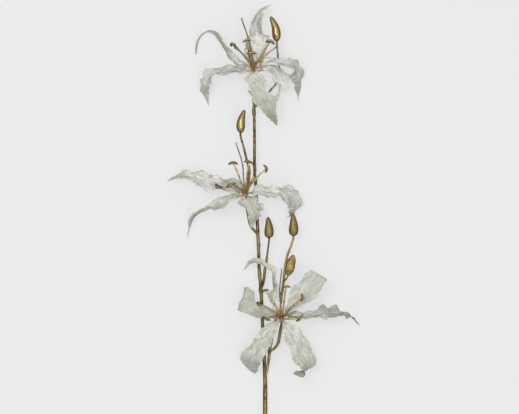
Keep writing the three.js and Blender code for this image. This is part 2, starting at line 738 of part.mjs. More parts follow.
function stamensGeometry(bloom) {
  const { axis } = directionsOf(bloom);
  const middleOfRing = (RING_RADIUS + RING_HOLE_RADIUS) / 2;
  let whole = solidOf(turnedOnAxis(bloom, [
    [RING_HOLE_RADIUS, RING_FLOOR],
    [RING_RADIUS, RING_FLOOR],
    [RING_TOP_RADIUS, RING_FLOOR + RING_HEIGHT],
    [RING_HOLE_RADIUS, RING_FLOOR + RING_HEIGHT],
    [RING_HOLE_RADIUS, RING_FLOOR],
  ], RING_SIDES));
  for (const stamen of bloom.stamens) {
    const end = vec(stamen.to);
    const out = end.clone().sub(vec(bloom.centre)).projectOnPlane(axis).normalize();
    const root = pointOnAxis(bloom, RING_FLOOR + RING_HEIGHT / 3).addScaledVector(out, middleOfRing);
    const rise = root.clone().addScaledVector(axis, FILAMENT_RISE).addScaledVector(out, FILAMENT_LEAN);
    const arch = end.clone().lerp(rise, 0.45).addScaledVector(axis, FILAMENT_ARCH);
    const curve = new THREE.CatmullRomCurve3([root, rise, arch, end]);
    const points = evenSteps(FILAMENT_STEPS).map((t) => curve.getPointAt(t));
    const way = end.clone().sub(points[FILAMENT_STEPS - 1]).normalize();
    const filament = bar(points, (i) => FILAMENT_RADIUS - FILAMENT_TAPER * i, FILAMENT_SIDES);
    whole = whole.add(solidOf(filament)).add(solidOf(antherGeometry(end, way, stamen.anther)));
  }
  return geometryOf(whole);
}

function pistilGeometry(bloom) {
  const { axis } = directionsOf(bloom);
  const foot = pointOnAxis(bloom, RING_FLOOR);
  const shoulder = pointOnAxis(bloom, OVARY_LENGTH);
  const ovaryPoints = OVARY_STATIONS.map(([share]) => foot.clone().lerp(shoulder, share));
  const ovary = bar(ovaryPoints, (i) => OVARY_STATIONS[i][1], OVARY_SIDES);
  const route = [pointOnAxis(bloom, OVARY_LENGTH - STYLE_OVERLAP), ...bloom.style.map(vec)];
  const curve = new THREE.CatmullRomCurve3(route, false, "centripetal");
  const points = evenSteps(STYLE_STEPS).map((t) => curve.getPointAt(t));
  let whole = solidOf(ovary).add(solidOf(bar(points, () => STYLE_RADIUS, FILAMENT_SIDES)));
  const end = points[STYLE_STEPS];
  const way = end.clone().sub(points[STYLE_STEPS - 1]).normalize();
  const side = new THREE.Vector3().crossVectors(axis, way).normalize();
  for (const angle of [0, 120, 240]) {
    const out = side.clone().applyAxisAngle(way, radians(angle));
    const branch = STIGMA_STATIONS.map(([share]) =>
      end.clone()
        .addScaledVector(way, STIGMA_LENGTH * share - 1)
        .addScaledVector(out, STIGMA_LENGTH * STIGMA_SPREAD * share * share));
    whole = whole.add(solidOf(bar(branch, (i) => STIGMA_STATIONS[i][1], FILAMENT_SIDES)));
  }
  return geometryOf(whole);
}

for (const bloom of BLOOMS) {
  add(bloom.name + "_cup", cupGeometry(bloom), DULL_GOLD);
  add(bloom.name + "_stamens", stamensGeometry(bloom), GOLD);
  add(bloom.name + "_pistil", pistilGeometry(bloom), GOLD);
  for (const petal of bloom.petals) {
    add(bloom.name + "_petal_" + petal.way, bladeGeometry(petalGrid(bloom, petal)), CREAM_CLOTH);
  }
}

export default group;
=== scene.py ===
# An artificial gloriosa lily spray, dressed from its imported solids.
# The sections follow its making: setting, stems, buds, cups, petals, stamens, pistils.

import math

import bpy
import numpy as np
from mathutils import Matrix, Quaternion, Vector


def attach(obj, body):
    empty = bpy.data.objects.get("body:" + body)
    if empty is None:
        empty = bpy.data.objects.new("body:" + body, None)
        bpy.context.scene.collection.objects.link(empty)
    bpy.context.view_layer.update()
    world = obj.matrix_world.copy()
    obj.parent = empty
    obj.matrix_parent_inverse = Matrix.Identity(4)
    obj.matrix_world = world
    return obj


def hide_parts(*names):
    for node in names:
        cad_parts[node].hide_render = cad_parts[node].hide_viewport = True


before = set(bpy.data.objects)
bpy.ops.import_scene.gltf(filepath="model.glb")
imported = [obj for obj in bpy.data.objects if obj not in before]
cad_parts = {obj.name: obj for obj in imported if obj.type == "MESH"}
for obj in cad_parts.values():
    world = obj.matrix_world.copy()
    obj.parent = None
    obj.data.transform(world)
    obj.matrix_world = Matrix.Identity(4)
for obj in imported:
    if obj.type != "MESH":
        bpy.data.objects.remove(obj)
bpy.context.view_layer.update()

# The setting: the spray lies face up on a pale table, under one large soft light and a fainter one.
# The camera looks straight down on it through a long lens, as it stood before the blooms in the photo.

MM = 0.001
PHOTO_WIDTH = 519  # pixels
PHOTO_PIXEL = 2.0 * MM  # what one pixel covers, at the height of the blooms
BLOOM_HEIGHT = 60 * MM
CAMERA_HEIGHT = 5770 * MM
CAMERA_OVER = (-9 * MM, 42 * MM)
SENSOR_WIDTH = 36  # millimetres, as the camera's own setting is
TABLE_SIZE = 24.0  # metres, as the next one is
FARTHEST_SEEN = 40
TABLE_TONE = 0.20
TONE_RANGE = 0.004
TABLE_GLOW = 0.615  # the table is lit from below, so that the spray throws almost no shadow on it
SKY_OVERHEAD = (0.62, 0.62, 0.62, 1)
SKY_LOW = (0.20, 0.19, 0.14, 1)
HIGH_SKY = 0.8  # how steeply upwards the sky has all of its overhead colour
LIGHTS = [  # name, place and size in metres, power in watts
    ("key_light", (-0.7, 0.6, 3.5), 1.3, 53),
    ("fill_light", (0.8, -0.8, 3.3), 1.3, 27),
]


def feed(node, given):
    """Sets a node's inputs to values, or links them to the sockets that feed them."""
    for name, value in given.items():
        if isinstance(value, bpy.types.NodeSocket):
            node.id_data.links.new(value, node.inputs[name])
        else:
            node.inputs[name].default_value = value


def place(tree, kind, given=None, **settings):
    """A new node, with its settings and its inputs."""
    made = tree.nodes.new(kind)
    for name, value in settings.items():
        setattr(made, name, value)
    feed(made, given or {})
    return made


def tree_of(values):
    """The tree of the first socket among some values."""
    return next(value for value in values if isinstance(value, bpy.types.NodeSocket)).id_data


def calc(operation, *values):
    """The result of a sum on values, one of which is a socket."""
    return place(tree_of(values), "ShaderNodeMath", dict(enumerate(values)), operation=operation).outputs[0]


def times(first, *others):
    for other in others:
        first = calc("MULTIPLY", first, other)
    return first


def plus(first, *others):
    for other in others:
        first = calc("ADD", first, other)
    return first


def minus(first, second):
    return calc("SUBTRACT", first, second)


def ramp(value, low, high, start=0.0, end=1.0, ease="SMOOTHSTEP"):
    """What goes from start to end as a value goes from low to high."""
    given = {"Value": value, "From Min": low, "From Max": high, "To Min": start, "To Max": end}
    return place(value.id_data, "ShaderNodeMapRange", given, interpolation_type=ease).outputs["Result"]


def noise(tree, given, **settings):
    """A cloudy noise from 0 to 1."""
    return place(tree, "ShaderNodeTexNoise", given, **settings).outputs["Fac"]


def mix_colours(share, first, second):
    """The blend of two colours or colour sockets, all second where the share is 1."""
    given = {0: share, 6: first, 7: second}
    return place(tree_of(given.values()), "ShaderNodeMix", given, data_type="RGBA").outputs[2]


def parts(vector):
    """The X, Y and Z of a vector socket."""
    return place(vector.id_data, "ShaderNodeSeparateXYZ", {"Vector": vector}).outputs


def new_material(name):
    made = bpy.data.materials.new(name)
    made.use_nodes = True
    return made, made.node_tree.nodes["Principled BSDF"]


def show(name, data):
    """Puts a new object in the scene."""
    made = bpy.data.objects.new(name, data)
    bpy.context.scene.collection.objects.link(made)
    return made


table_paper, surface = new_material("table_paper")
grain = noise(surface.id_data, {"Scale": 3.0})
seen = place(surface.id_data, "ShaderNodeLightPath").outputs["Is Camera Ray"]
feed(surface, {
    "Base Color": ramp(grain, 0.0, 1.0, TABLE_TONE - TONE_RANGE, TABLE_TONE + TONE_RANGE, ease="LINEAR"),
    "Roughness": 0.9,
    "Specular IOR Level": 0.0,
    "Emission Color": (1, 1, 1, 1),
    "Emission Strength": times(seen, TABLE_GLOW),
})
table_mesh = bpy.data.meshes.new("table")
half = TABLE_SIZE / 2
corners = [(-half, -half, 0), (half, -half, 0), (half, half, 0), (-half, half, 0)]
table_mesh.from_pydata(corners, [], [(0, 1, 2, 3)])
table_mesh.materials.append(table_paper)
table = show("table", table_mesh)

world = bpy.data.worlds.new("studio")
world.use_nodes = True
bpy.context.scene.world = world
upwards = parts(place(world.node_tree, "ShaderNodeTexCoord").outputs["Generated"])["Z"]
sky = mix_colours(ramp(upwards, 0.0, HIGH_SKY), SKY_LOW, SKY_OVERHEAD)
feed(world.node_tree.nodes["Background"], {"Color": sky, "Strength": 1.0})

for name, where, size, power in LIGHTS:
    light = bpy.data.lights.new(name, "AREA")
    light.shape = "DISK"
    light.size = size
    light.energy = power
    lamp = show(name, light)
    lamp.location = where
    lamp.rotation_euler = (-Vector(where)).to_track_quat("-Z", "Y").to_euler()

lens = bpy.data.cameras.new("camera")
lens.sensor_width = SENSOR_WIDTH
lens.lens = SENSOR_WIDTH * (CAMERA_HEIGHT - BLOOM_HEIGHT) / (PHOTO_WIDTH * PHOTO_PIXEL)
lens.clip_end = FARTHEST_SEEN
camera = show("camera", lens)
camera.location = (*CAMERA_OVER, CAMERA_HEIGHT)
bpy.context.scene.camera = camera
bpy.context.scene.view_settings.view_transform = "Standard"

# The stems: steel wire covered with soft plastic, moulded with knobs and a lengthwise bark.
# They are painted in dull gold over brown, and each branch is fused to the stem that carries it.
# Routes, radii and knobs are those of the solids. Every size in these sections is in millimetres.

CUP_SEATS = {  # where each bloom's cup stands: its centre, and its lean from straight up towards +Y
    "top": ((-21, 318, 55), 46),
    "middle": ((-38, 68, 55), 46),
    "lower": ((35, -181.6, 51), 42),
}
CUP_FOOT = -10.8  # how far the cup's foot is from the bloom's centre, along its axis
BUD_SEATS = {  # where each bud stands: its base, its tip, and how its middle bows
    "bud_1": ((25.8, 375, 33.5), (13, 425, 36), (4, 1, 2)),
    "bud_2": ((-47, 191, 39), (-39, 237, 42), (-3, 0, 2)),
    "bud_3": ((10, -20, 34), (8, 22, 37), (1, 0, 1.5)),
    "bud_4": ((59, -16, 38.5), (58, 29, 41), (1, 0, 1.5)),
    "bud_5": ((48, -95, 40), (59, -54, 45), (0, 0, 1)),
}
STEM_STEP = 1.6
STEM_SIDES = 20
STEM_END_STRAIGHT = 5
STEM_SINK = 0.8  # how far a stem goes into its cup or its bud
STEM_SHARP = 60  # an edge that turns by more than this many degrees looks sharp
ROUTE_STEPS = 240  # from one of a route's points to the next
MOST_KNOB_BARK = 1.2  # how much rougher a knob's bark gets
# A knob is how far up it is, the side it points to in degrees, its height and its half length.
STEMS = {
    "main_stem": {
        "ends": "top", "radii": [4.7, 4.4, 3.3, 3.3, 3.3, 2.9, 2.9, 2.2],
        "route": [(3.2, -450, 4.7), (2.4, -372, 7.2), (2.4, -312, 9.6), (1.2, -276, 11), (-3, -190, 14.4),
            (-6, -124, 17), (-9.2, -90, 18.5), (-11, -44, 20.4), (-13.2, 12, 22.7), (-16, 76, 25.4),
            (-18.4, 106, 26.6), (-19.2, 196, 31), (-20, 242, 33), (-21.3, 276, 35), (-21.3, 289, 36)],
        "knobs": [(-126, 20, 1.6, 8), (-92, 200, 0.9, 5), (-34, 160, 1.2, 6), (76, 20, 1.3, 7),
            (88, 200, 0.9, 4), (96, 150, 1.5, 6), (106, 20, 0.9, 4), (117, 170, 1.0, 5), (128, 40, 1.1, 6),
            (234, 60, 2.2, 9)],
    },
    "middle_branch": {
        "ends": "bud_2", "radii": [2.5, 2.9, 2.4, 2.1],
        "route": [(-12, -14, 21.7), (-17, -8, 25), (-26, 3, 29), (-33, 32, 32), (-35, 56, 33),
            (-34, 84, 34), (-29.5, 104, 35), (-30, 118, 36), (-35, 138, 37), (-41, 162, 38)],
        "knobs": [(74, 200, 0.9, 4), (82, 30, 1.4, 5), (92, 170, 1.3, 5), (101, 10, 1.3, 4),
            (112, 40, 1.3, 6), (121, 190, 0.9, 4)],
    },
    "lower_branch": {
        "ends": "bud_4", "radii": [2.4, 2.9, 2.9, 2.6, 2.2],
        "route": [(2, -302, 10), (7, -284, 11.5), (9.5, -266, 12.5), (12, -248, 13.5), (14, -234, 14),
            (20, -204, 15), (28, -168, 16), (34, -144, 18), (38.5, -114, 22), (46, -60, 30),
            (55, -34, 35.5)],
        "knobs": [(-264, 200, 0.8, 4), (-250, 30, 1.5, 7), (-136, 20, 1.4, 7), (-126, 190, 1.0, 5),
            (-150, 170, 1.0, 5)],
    },
    "stalk_of_middle_bloom": {
        "ends": "middle", "radii": [2.2, 2.1, 2.0],
        "route": [(-33.5, 38, 32.3), (-36.5, 48, 37)],
    },
    "stalk_of_lower_bloom": {
        "ends": "lower", "radii": [2.2, 2.8, 3.1, 3.1, 1.8],
        "route": [(12, -249, 13.4), (20, -244, 15), (28, -233, 20), (31.5, -216, 28)],
    },
    "stalk_of_bud_1": {
        "ends": "bud_1", "radii": [2.2, 2.1, 2.0, 1.9, 2.0],
        "route": [(-19.8, 240, 33), (-9, 254, 31), (3, 266, 28), (15, 279, 26), (25, 291, 26),
            (30, 304, 26.5), (31, 320, 27.5), (28, 346, 30)],
    },
    "stalk_of_bud_3": {
        "ends": "bud_3", "radii": [2.4, 3.0, 2.8, 1.9, 1.9],
        "route": [(-6, -126, 17), (-2, -112, 20), (0.5, -98, 22.5), (2, -84, 24.5), (5.5, -62, 28)],
    },
    "stalk_of_bud_5": {
        "ends": "bud_5", "radii": [2.0, 1.8, 1.7],
        "route": [(38.5, -116, 22), (41, -107, 30)],
    },
}


def smooth_route(points):
    """A close row of places along a smooth line through points, with the line's length. Each place knows
    how far along the line it is, and which of the points it has passed, both from 0 to 1."""
    points = np.array(points, float)
    ends = np.vstack([2 * points[0] - points[1], points, 2 * points[-1] - points[-2]])
    t = np.linspace(0, 1, ROUTE_STEPS)[:, None]
    places = [points[:1]]
    passed = [np.zeros(1)]
    for k in range(len(points) - 1):
        p0, p1, p2, p3 = ends[k : k + 4]
        d0, d1, d2 = (math.sqrt(np.linalg.norm(b - a)) for a, b in ((p0, p1), (p1, p2), (p2, p3)))
        leave = ((p1 - p0) / d0 - (p2 - p0) / (d0 + d1) + (p2 - p1) / d1) * d1
        arrive = ((p2 - p1) / d1 - (p3 - p1) / (d1 + d2) + (p3 - p2) / d2) * d1
        bend = 3 * (p2 - p1) - 2 * leave - arrive
        turn = 2 * (p1 - p2) + leave + arrive
        places.append((p1 + leave * t + bend * t**2 + turn * t**3)[1:])
        passed.append((k + t[1:, 0]) / (len(points) - 1))
    places = np.vstack(places)
    steps = np.linalg.norm(np.diff(places, axis=0), axis=1)
    along = np.concatenate([[0], np.cumsum(steps)])
    return {
        "places": places, "along": along / along[-1], "passed": np.concatenate(passed), "length": along[-1],
    }


def read_route(route, shares):
    """Places on a smooth route at shares of its length."""
    places = route["places"]
    return np.stack([np.interp(shares, route["along"], places[:, k]) for k in range(3)], axis=-1)


def carried_frames(points, first_normal):
    """A tangent and a normal at each point of a row, where the normal doesn't turn about the row."""
    after = np.vstack([points[1:], points[-1:]])
    before = np.vstack([points[:1], points[:-1]])
    tangents = [Vector(way).normalized() for way in after - before]
    first = Vector(first_normal)
    normal = (first - tangents[0] * first.dot(tangents[0])).normalized()
    normals = [normal]
    for last, tangent in zip(tangents, tangents[1:]):
        normal = last.rotation_difference(tangent) @ normal
        normals.append(normal)
    return np.array(tangents), np.array(normals)


def eased(values, shares):
    """Values that are spread evenly from 0 to 1, read at shares, with an ease at each value."""
    values = np.array(values, float)
    spot = np.clip(shares, 0, 1) * (len(values) - 1)
    low = np.minimum(spot.astype(int), len(values) - 2)
    share = spot - low
    share = share * share * (3 - 2 * share)
    return values[low] * (1 - share) + values[low + 1] * share


def unit(way):
    way = np.array(way, float)
    return way / np.linalg.norm(way)


def cup_axis(bloom):
    lean = math.radians(CUP_SEATS[bloom][1])
    return np.array([0, math.sin(lean), math.cos(lean)])


def on_axis(bloom, distance):
    return np.array(CUP_SEATS[bloom][0], float) + cup_axis(bloom) * distance


def bud_line(bud):
    """The smooth middle line of a bud, from its base to its tip."""
    base, tip, bow = (np.array(place) for place in BUD_SEATS[bud])
    return smooth_route([base, (base + tip) / 2 + bow, tip])


def give(mesh, name, values, kind="FLOAT"):
    """Gives the points of a mesh a named value or vector each."""
    field = "vector" if kind == "FLOAT_VECTOR" else "value"
    mesh.attributes.new(name, kind, "POINT").data.foreach_set(field, np.ravel(values))


def strand(points, radius, **values):
    """One round strand: its points in millimetres, its radius there, and any other values there."""
    count = len(points)
    made = {
        "points": np.array(points, float) * MM,
        "radius": np.array(radius, float) * MM,
        "swell": np.zeros(count),
        "swell_towards": np.zeros((count, 3)),
        "bark": np.ones(count),
    }
    made.update(values)
    return made


def strand_start(strands):
    """The points and values of some strands, as the mesh that a tree makes them from."""
    mesh = bpy.data.meshes.new("strands")
    joined = {name: np.concatenate([each[name] for each in strands]) for name in strands[0]}
    first = 0
    edges = []
    for each in strands:
        last = first + len(each["points"]) - 1
        edges += [(k, k + 1) for k in range(first, last)]
        first = last + 1
    mesh.from_pydata(joined.pop("points").tolist(), edges, [])
    for name, values in joined.items():
        give(mesh, name, values, "FLOAT_VECTOR" if values.ndim == 2 else "FLOAT")
    return mesh


def new_group(kind, name, inputs, outputs):
    """A tree of nodes with inputs, each a name, a socket kind and a value, and outputs."""
    made = bpy.data.node_groups.new(name, kind)
    for label, socket, value in inputs:
        added = made.interface.new_socket(label, in_out="INPUT", socket_type="NodeSocket" + socket)
        if value is not None:
            added.default_value = value
    for label, socket in outputs:
        made.interface.new_socket(label, in_out="OUTPUT", socket_type="NodeSocket" + socket)
    return made, place(made, "NodeGroupInput").outputs


def making_tree(name, inputs):
    """A tree that makes a shape from a mesh, with named inputs."""
    shape = ("Geometry", "Geometry", None)
    material = ("Material", "Material", None)
    return new_group("GeometryNodeTree", name, [shape, *inputs, material], [shape[:2]])


def attribute(tree, name, kind="FLOAT"):
    return place(tree, "GeometryNodeInputNamedAttribute", {"Name": name}, data_type=kind).outputs[0]


def position(tree):
    return place(tree, "GeometryNodeInputPosition").outputs[0]


def normal(tree):
    return place(tree, "GeometryNodeInputNormal").outputs[0]


def vector_calc(operation, *values):
    given = dict(enumerate(values))
    made = place(tree_of(values), "ShaderNodeVectorMath", given, operation=operation)
    return made.outputs["Value" if operation == "DOT_PRODUCT" else "Vector"]


def scaled(vector, factor):
    given = {"Vector": vector, "Scale": factor}
    return place(vector.id_data, "ShaderNodeVectorMath", given, operation="SCALE").outputs["Vector"]


def shifted(geometry, given):
    """Moves the points of a shape by an offset or to a position."""
    return place(geometry.id_data, "GeometryNodeSetPosition", {"Geometry": geometry, **given}).outputs[0]


def raised(geometry, height):
    """Moves each point of a shape along its normal."""
    return shifted(geometry, {"Offset": scaled(normal(geometry.id_data), height)})


def tube(row, profile, size):
    """A closed tube of a profile along rows of points, with a size at each point."""
    tree = row.id_data
    line = place(tree, "GeometryNodeMeshToCurve", {"Mesh": row}).outputs["Curve"]
    given = {"Curve": line, "Profile Curve": profile, "Scale": size, "Fill Caps": True}
    return place(tree, "GeometryNodeCurveToMesh", given).outputs["Mesh"]


def circle(tree, sides):
    given = {"Resolution": sides, "Radius": 1.0}
    return place(tree, "GeometryNodeCurvePrimitiveCircle", given).outputs["Curve"]


def end_tree(geometry, material):
    """Every tree ends in real, smooth faces with a material."""
    tree = geometry.id_data
    smooth = place(tree, "GeometryNodeSetShadeSmooth", {"Geometry": geometry}).outputs[0]
    real = place(tree, "GeometryNodeRealizeInstances", {"Geometry": smooth}).outputs[0]
    painted = place(tree, "GeometryNodeSetMaterial", {"Geometry": real, "Material": material}).outputs[0]
    place(tree, "NodeGroupOutput", {"Geometry": painted})


# One tree makes every round strand: a tube on a row of points, with its swellings and its bark.
# The points carry the radius, the swelling, the side it points to, and how rough the bark is.
strand_tree, given = making_tree("round_strand", [
    ("Sides", "Int", STEM_SIDES),
    ("Bark Relief", "Float", 0.55 * MM),
    ("Bark Grain", "Float", 330.0),  # lumps to a metre, across the stem
    ("Bark Stretch", "Vector", (1.0, 0.3, 1.0)),
])
body = tube(given["Geometry"], circle(strand_tree, given["Sides"]), attribute(strand_tree, "radius"))
bark = noise(strand_tree, {
    "Vector": vector_calc("MULTIPLY", position(strand_tree), given["Bark Stretch"]),
    "Scale": given["Bark Grain"],
    "Detail": 3.0,
    "Roughness": 0.55,
})
lump = times(minus(bark, 0.5), 2.0, given["Bark Relief"], attribute(strand_tree, "bark"))
towards = attribute(strand_tree, "swell_towards", "FLOAT_VECTOR")
facing = vector_calc("DOT_PRODUCT", normal(strand_tree), towards)
swell = times(plus(attribute(strand_tree, "swell"), facing), 0.5)
end_tree(raised(body, plus(swell, lump)), given["Material"])


def made_by(tree, name, start, values):
    """The plain mesh that a tree makes from a starting mesh, as a new object."""
    holder = show(name + "_start", start)
    modifier = holder.modifiers.new("making", "NODES")
    modifier.node_group = tree
    for item in tree.interface.items_tree:
        if item.in_out == "INPUT" and item.name in values:
            modifier[item.identifier] = values[item.name]
    bpy.context.view_layer.update()
    mesh = bpy.data.meshes.new_from_object(holder.evaluated_get(bpy.context.evaluated_depsgraph_get()))
    bpy.data.objects.remove(holder)
    mesh.name = name
    return show(name, mesh)


# The gilding: gold rubbed over brown, worn through in small patches, with a fine uneven surface.
WORN_FROM = 0.62  # the level of the patches at which unworn gold would start to fail
WORN_WHOLLY = 0.78
WEAR_REACH = 0.3  # how far full wear lowers both
WORN_ROUGHER = 0.25  # how much rougher the bare paint is
WORN_LOWER = 0.8  # and how much lower, as a share of the specks' height
SPECK_LEVELS = (0.35, 0.75)  # the levels of the specks between which the colour goes from dark to light
SPECK_TONES = (0.82, 1.25)
SPECKS_TO_A_PATCH = 6.0
COAT_OUTPUTS = [("Color", "Color"), ("Roughness", "Float"), ("Height", "Float")]

gilding, given = new_group("ShaderNodeTree", "gilding", [
    ("Gold", "Color", (0.4, 0.3, 0.15, 1)),
    ("Brown", "Color", (0.1, 0.06, 0.03, 1)),
    ("Patch Scale", "Float", 120.0),
    ("Stretch", "Vector", (1.0, 0.25, 1.0)),
    ("Wear", "Float", 0.5),
    ("Roughness", "Float", 0.4),
], COAT_OUTPUTS)
drawn = vector_calc("MULTIPLY", place(gilding, "ShaderNodeTexCoord").outputs["Object"], given["Stretch"])
patches = noise(gilding, {
    "Vector": drawn, "Scale": given["Patch Scale"], "Detail": 5.0, "Roughness": 0.62,
})
specks = noise(gilding, {"Vector": drawn, "Scale": times(given["Patch Scale"], SPECKS_TO_A_PATCH)})
lowered = times(given["Wear"], WEAR_REACH)
worn = ramp(patches, minus(WORN_FROM, lowered), minus(WORN_WHOLLY, lowered))
tone = ramp(specks, *SPECK_LEVELS, *SPECK_TONES, ease="LINEAR")
place(gilding, "NodeGroupOutput", {
    "Color": scaled(mix_colours(worn, given["Gold"], given["Brown"]), tone),
    "Roughness": plus(given["Roughness"], times(worn, WORN_ROUGHER)),
    "Height": minus(specks, times(worn, WORN_LOWER)),
})

UNSHADED_FACING = 0.88  # how squarely a place faces upwards, where the painted shade of the sides and underside starts
FULLY_SHADED_FACING = 0.3  # and where that painted shade is at its deepest
SIDE_SHADE_COLOUR = (0.085, 0.06, 0.022, 1)


def coated(surface, group, values):
    """The outputs of a coat in a surface's tree, with its own values."""
    return place(surface.id_data, "ShaderNodeGroup", values, node_tree=group).outputs


def shaded_sides_and_underside(gold, painted_shade):
    """Painted shade: the gold turns dark brown on the sides and underside, by how far each face turns from
    upwards.
    """
    upright = parts(place(gold.id_data, "ShaderNodeTexCoord").outputs["Normal"])["Z"]
    return mix_colours(ramp(upright, UNSHADED_FACING, FULLY_SHADED_FACING, 0.0, painted_shade), gold, SIDE_SHADE_COLOUR)


def dress(surface, coat, colour, bump):
    """Gives a surface its colour, and the roughness and the fine relief of its coat."""
    uneven = place(surface.id_data, "ShaderNodeBump", {"Height": coat["Height"], "Distance": bump * MM})
    feed(surface, {"Base Color": colour, "Roughness": coat["Roughness"], "Normal": uneven.outputs["Normal"]})


def gilded(name, metallic, bump, painted_shade, values):
    """A gilded material from the shared gilding, with its own values."""
    made, surface = new_material(name)
    coat = coated(surface, gilding, values)
    dress(surface, coat, shaded_sides_and_underside(coat["Color"], painted_shade), bump)
    feed(surface, {"Metallic": metallic, "Specular IOR Level": 0.2})
    return made


# The lighter copy of this gilding is painted light, for the stems listed below and for the cups.
stem_golds = {
    "dark": gilded("dark_stem_gold", 0.5, 0.35, 0.85, {
        "Gold": (0.275, 0.197, 0.077, 1), "Brown": (0.08, 0.055, 0.02, 1),
        "Patch Scale": 190.0, "Stretch": (1.0, 0.3, 1.0), "Wear": 0.55, "Roughness": 0.38,
    }),
    "light": gilded("lit_stem_gold", 0.45, 0.35, 0.7, {
        "Gold": (0.50, 0.36, 0.15, 1), "Brown": (0.24, 0.165, 0.065, 1),
        "Patch Scale": 190.0, "Stretch": (1.0, 0.3, 1.0), "Wear": 0.5, "Roughness": 0.42,
    }),
}
LIT_STEMS = ["lower_branch", "stalk_of_lower_bloom", "stalk_of_bud_1", "stalk_of_bud_5"]


def stem_strand(stem):
    """The points of a stem with its radius and its knobs, up to its cup or bud."""
    if stem["ends"] in CUP_SEATS:
        end = on_axis(stem["ends"], CUP_FOOT)
        way = cup_axis(stem["ends"])
    else:
        near = read_route(bud_line(stem["ends"]), np.array([0, 0.1]))
        end = near[0]
        way = unit(near[1] - near[0])
    route = smooth_route([*stem["route"], end - way * STEM_END_STRAIGHT, end + way * STEM_SINK])
    shares = np.linspace(0, 1, int(route["length"] / STEM_STEP) + 1)
    points = read_route(route, shares)
    tangents, normals = carried_frames(points, (0.05, 0, 1))
    sides = np.cross(normals, tangents)
    swell = np.zeros(len(points))
    towards = np.zeros((len(points), 3))
    for up, side, high, half_length in stem.get("knobs", []):
        height = high * np.exp(-2 * ((points[:, 1] - up) / half_length) ** 2)
        angle = math.radians(side)
        swell += height
        towards += height[:, None] * (sides * math.cos(angle) + normals * math.sin(angle))
    bark = 1 + np.minimum(MOST_KNOB_BARK, swell)
    radius = eased(stem["radii"], shares)
    return strand(points, radius, swell=swell * MM, swell_towards=towards * MM, bark=bark)


for name, stem in STEMS.items():
    piece = made_by(strand_tree, name + "_covered", strand_start([stem_strand(stem)]), {
        "Material": stem_golds["light" if name in LIT_STEMS else "dark"],
    })
    piece.data.set_sharp_from_angle(angle=math.radians(STEM_SHARP))
    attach(piece, "root")
    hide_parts(name)

# The buds: hollow teardrops of hard plastic, blown in one piece and pushed on their stalks. Four are smooth,
# with a shallow neck above the base: two brightly gilded, two in a rougher gold darkened with painted shade.
# The fifth is crumpled.

BUD_SIDES = 32
BUD_STEP = 0.9
NECK_SHARE = 0.16  # where the shallow neck is, up from the base
NECK_DEPTH = 0.07  # as a share of the radius there
NECK_SPREAD = 0.028
BLUNT = [0.3, 0.8, 0.98, 1.0, 0.96, 0.9, 0.81, 0.71, 0.6, 0.47, 0.12]
POINTED = [0.3, 0.88, 1.0, 0.99, 0.95, 0.88, 0.78, 0.67, 0.56, 0.43, 0.12]
SPINDLE = [0.3, 0.72, 0.93, 1.0, 1.0, 0.97, 0.92, 0.84, 0.72, 0.53, 0.16]
BUDS = {  # outline, full radius, relief, finish
    "bud_1": (BLUNT, 8.6, 0.12, "bright"),
    "bud_2": (BLUNT, 8.6, 0.12, "bright"),
    "bud_3": (POINTED, 9.4, 0.25, "dull_shaded"),
    "bud_4": (POINTED, 9.6, 0.25, "dull_shaded"),
    "bud_5": (SPINDLE, 9.4, 2.0, "crumpled"),
}


def faired(values, shares):
    """Values that are spread evenly from 0 to 1, read at shares on a smooth line that never passes them."""
    values = np.array(values, float)
    steps = np.diff(values)
    slopes = np.zeros(len(values))
    slopes[0], slopes[-1] = steps[0], steps[-1]
    for k in range(1, len(steps)):
        if steps[k - 1] * steps[k] > 0:
            slopes[k] = 2 * steps[k - 1] * steps[k] / (steps[k - 1] + steps[k])
    spot = np.clip(shares, 0, 1) * (len(values) - 1)
    low = np.minimum(spot.astype(int), len(values) - 2)
    t = spot - low
    start = (1 + 2 * t) * (1 - t) ** 2 * values[low] + t * (1 - t) ** 2 * slopes[low]
    return start + t * t * (3 - 2 * t) * values[low + 1] + t * t * (t - 1) * slopes[low + 1]


# The second gold is the bright one made rougher and darker, and its darkness is painted shade.
bud_golds = {
    "bright": gilded("bud_bright_gold", 0.7, 0.08, 0.85, {
        "Gold": (0.45, 0.32, 0.13, 1), "Brown": (0.27, 0.18, 0.06, 1),
        "Patch Scale": 60.0, "Stretch": (1.0, 0.35, 1.0), "Wear": 0.3, "Roughness": 0.34,
    }),
    "dull_shaded": gilded("bud_dull_shaded_gold", 0.5, 0.12, 0.85, {
        "Gold": (0.28, 0.2, 0.077, 1), "Brown": (0.19, 0.135, 0.05, 1),
        "Patch Scale": 90.0, "Stretch": (1.0, 0.35, 1.0), "Wear": 0.45, "Roughness": 0.5,
    }),
    "crumpled": gilded("bud_crumpled_gold", 0.35, 0.5, 0.45, {
        "Gold": (0.46, 0.33, 0.125, 1), "Brown": (0.21, 0.145, 0.05, 1),
        "Patch Scale": 170.0, "Stretch": (1.0, 0.8, 1.0), "Wear": 0.5, "Roughness": 0.55,
    }),
}

for name, (outline, radius, relief, finish) in BUDS.items():
    route = bud_line(name)
    shares = np.linspace(0, 1, int(route["length"] / BUD_STEP) + 1)
    neck = 1 - NECK_DEPTH * np.exp(-(((shares - NECK_SHARE) / NECK_SPREAD) ** 2))
    shell = strand(read_route(route, shares), faired(outline, shares) * radius * neck)
    piece = made_by(strand_tree, name + "_shell", strand_start([shell]), {
        "Sides": BUD_SIDES,
        "Bark Relief": relief * MM,
        "Bark Grain": 130.0,
        "Bark Stretch": (1.0, 0.6, 1.0),
        "Material": bud_golds[finish],
    })
    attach(piece, "root")
    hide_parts(name)

# The cups: small plastic receptacles, moulded with the neck that takes the stem.
# The petals are pressed down on the top of a cup and held there by the ring of stamens.

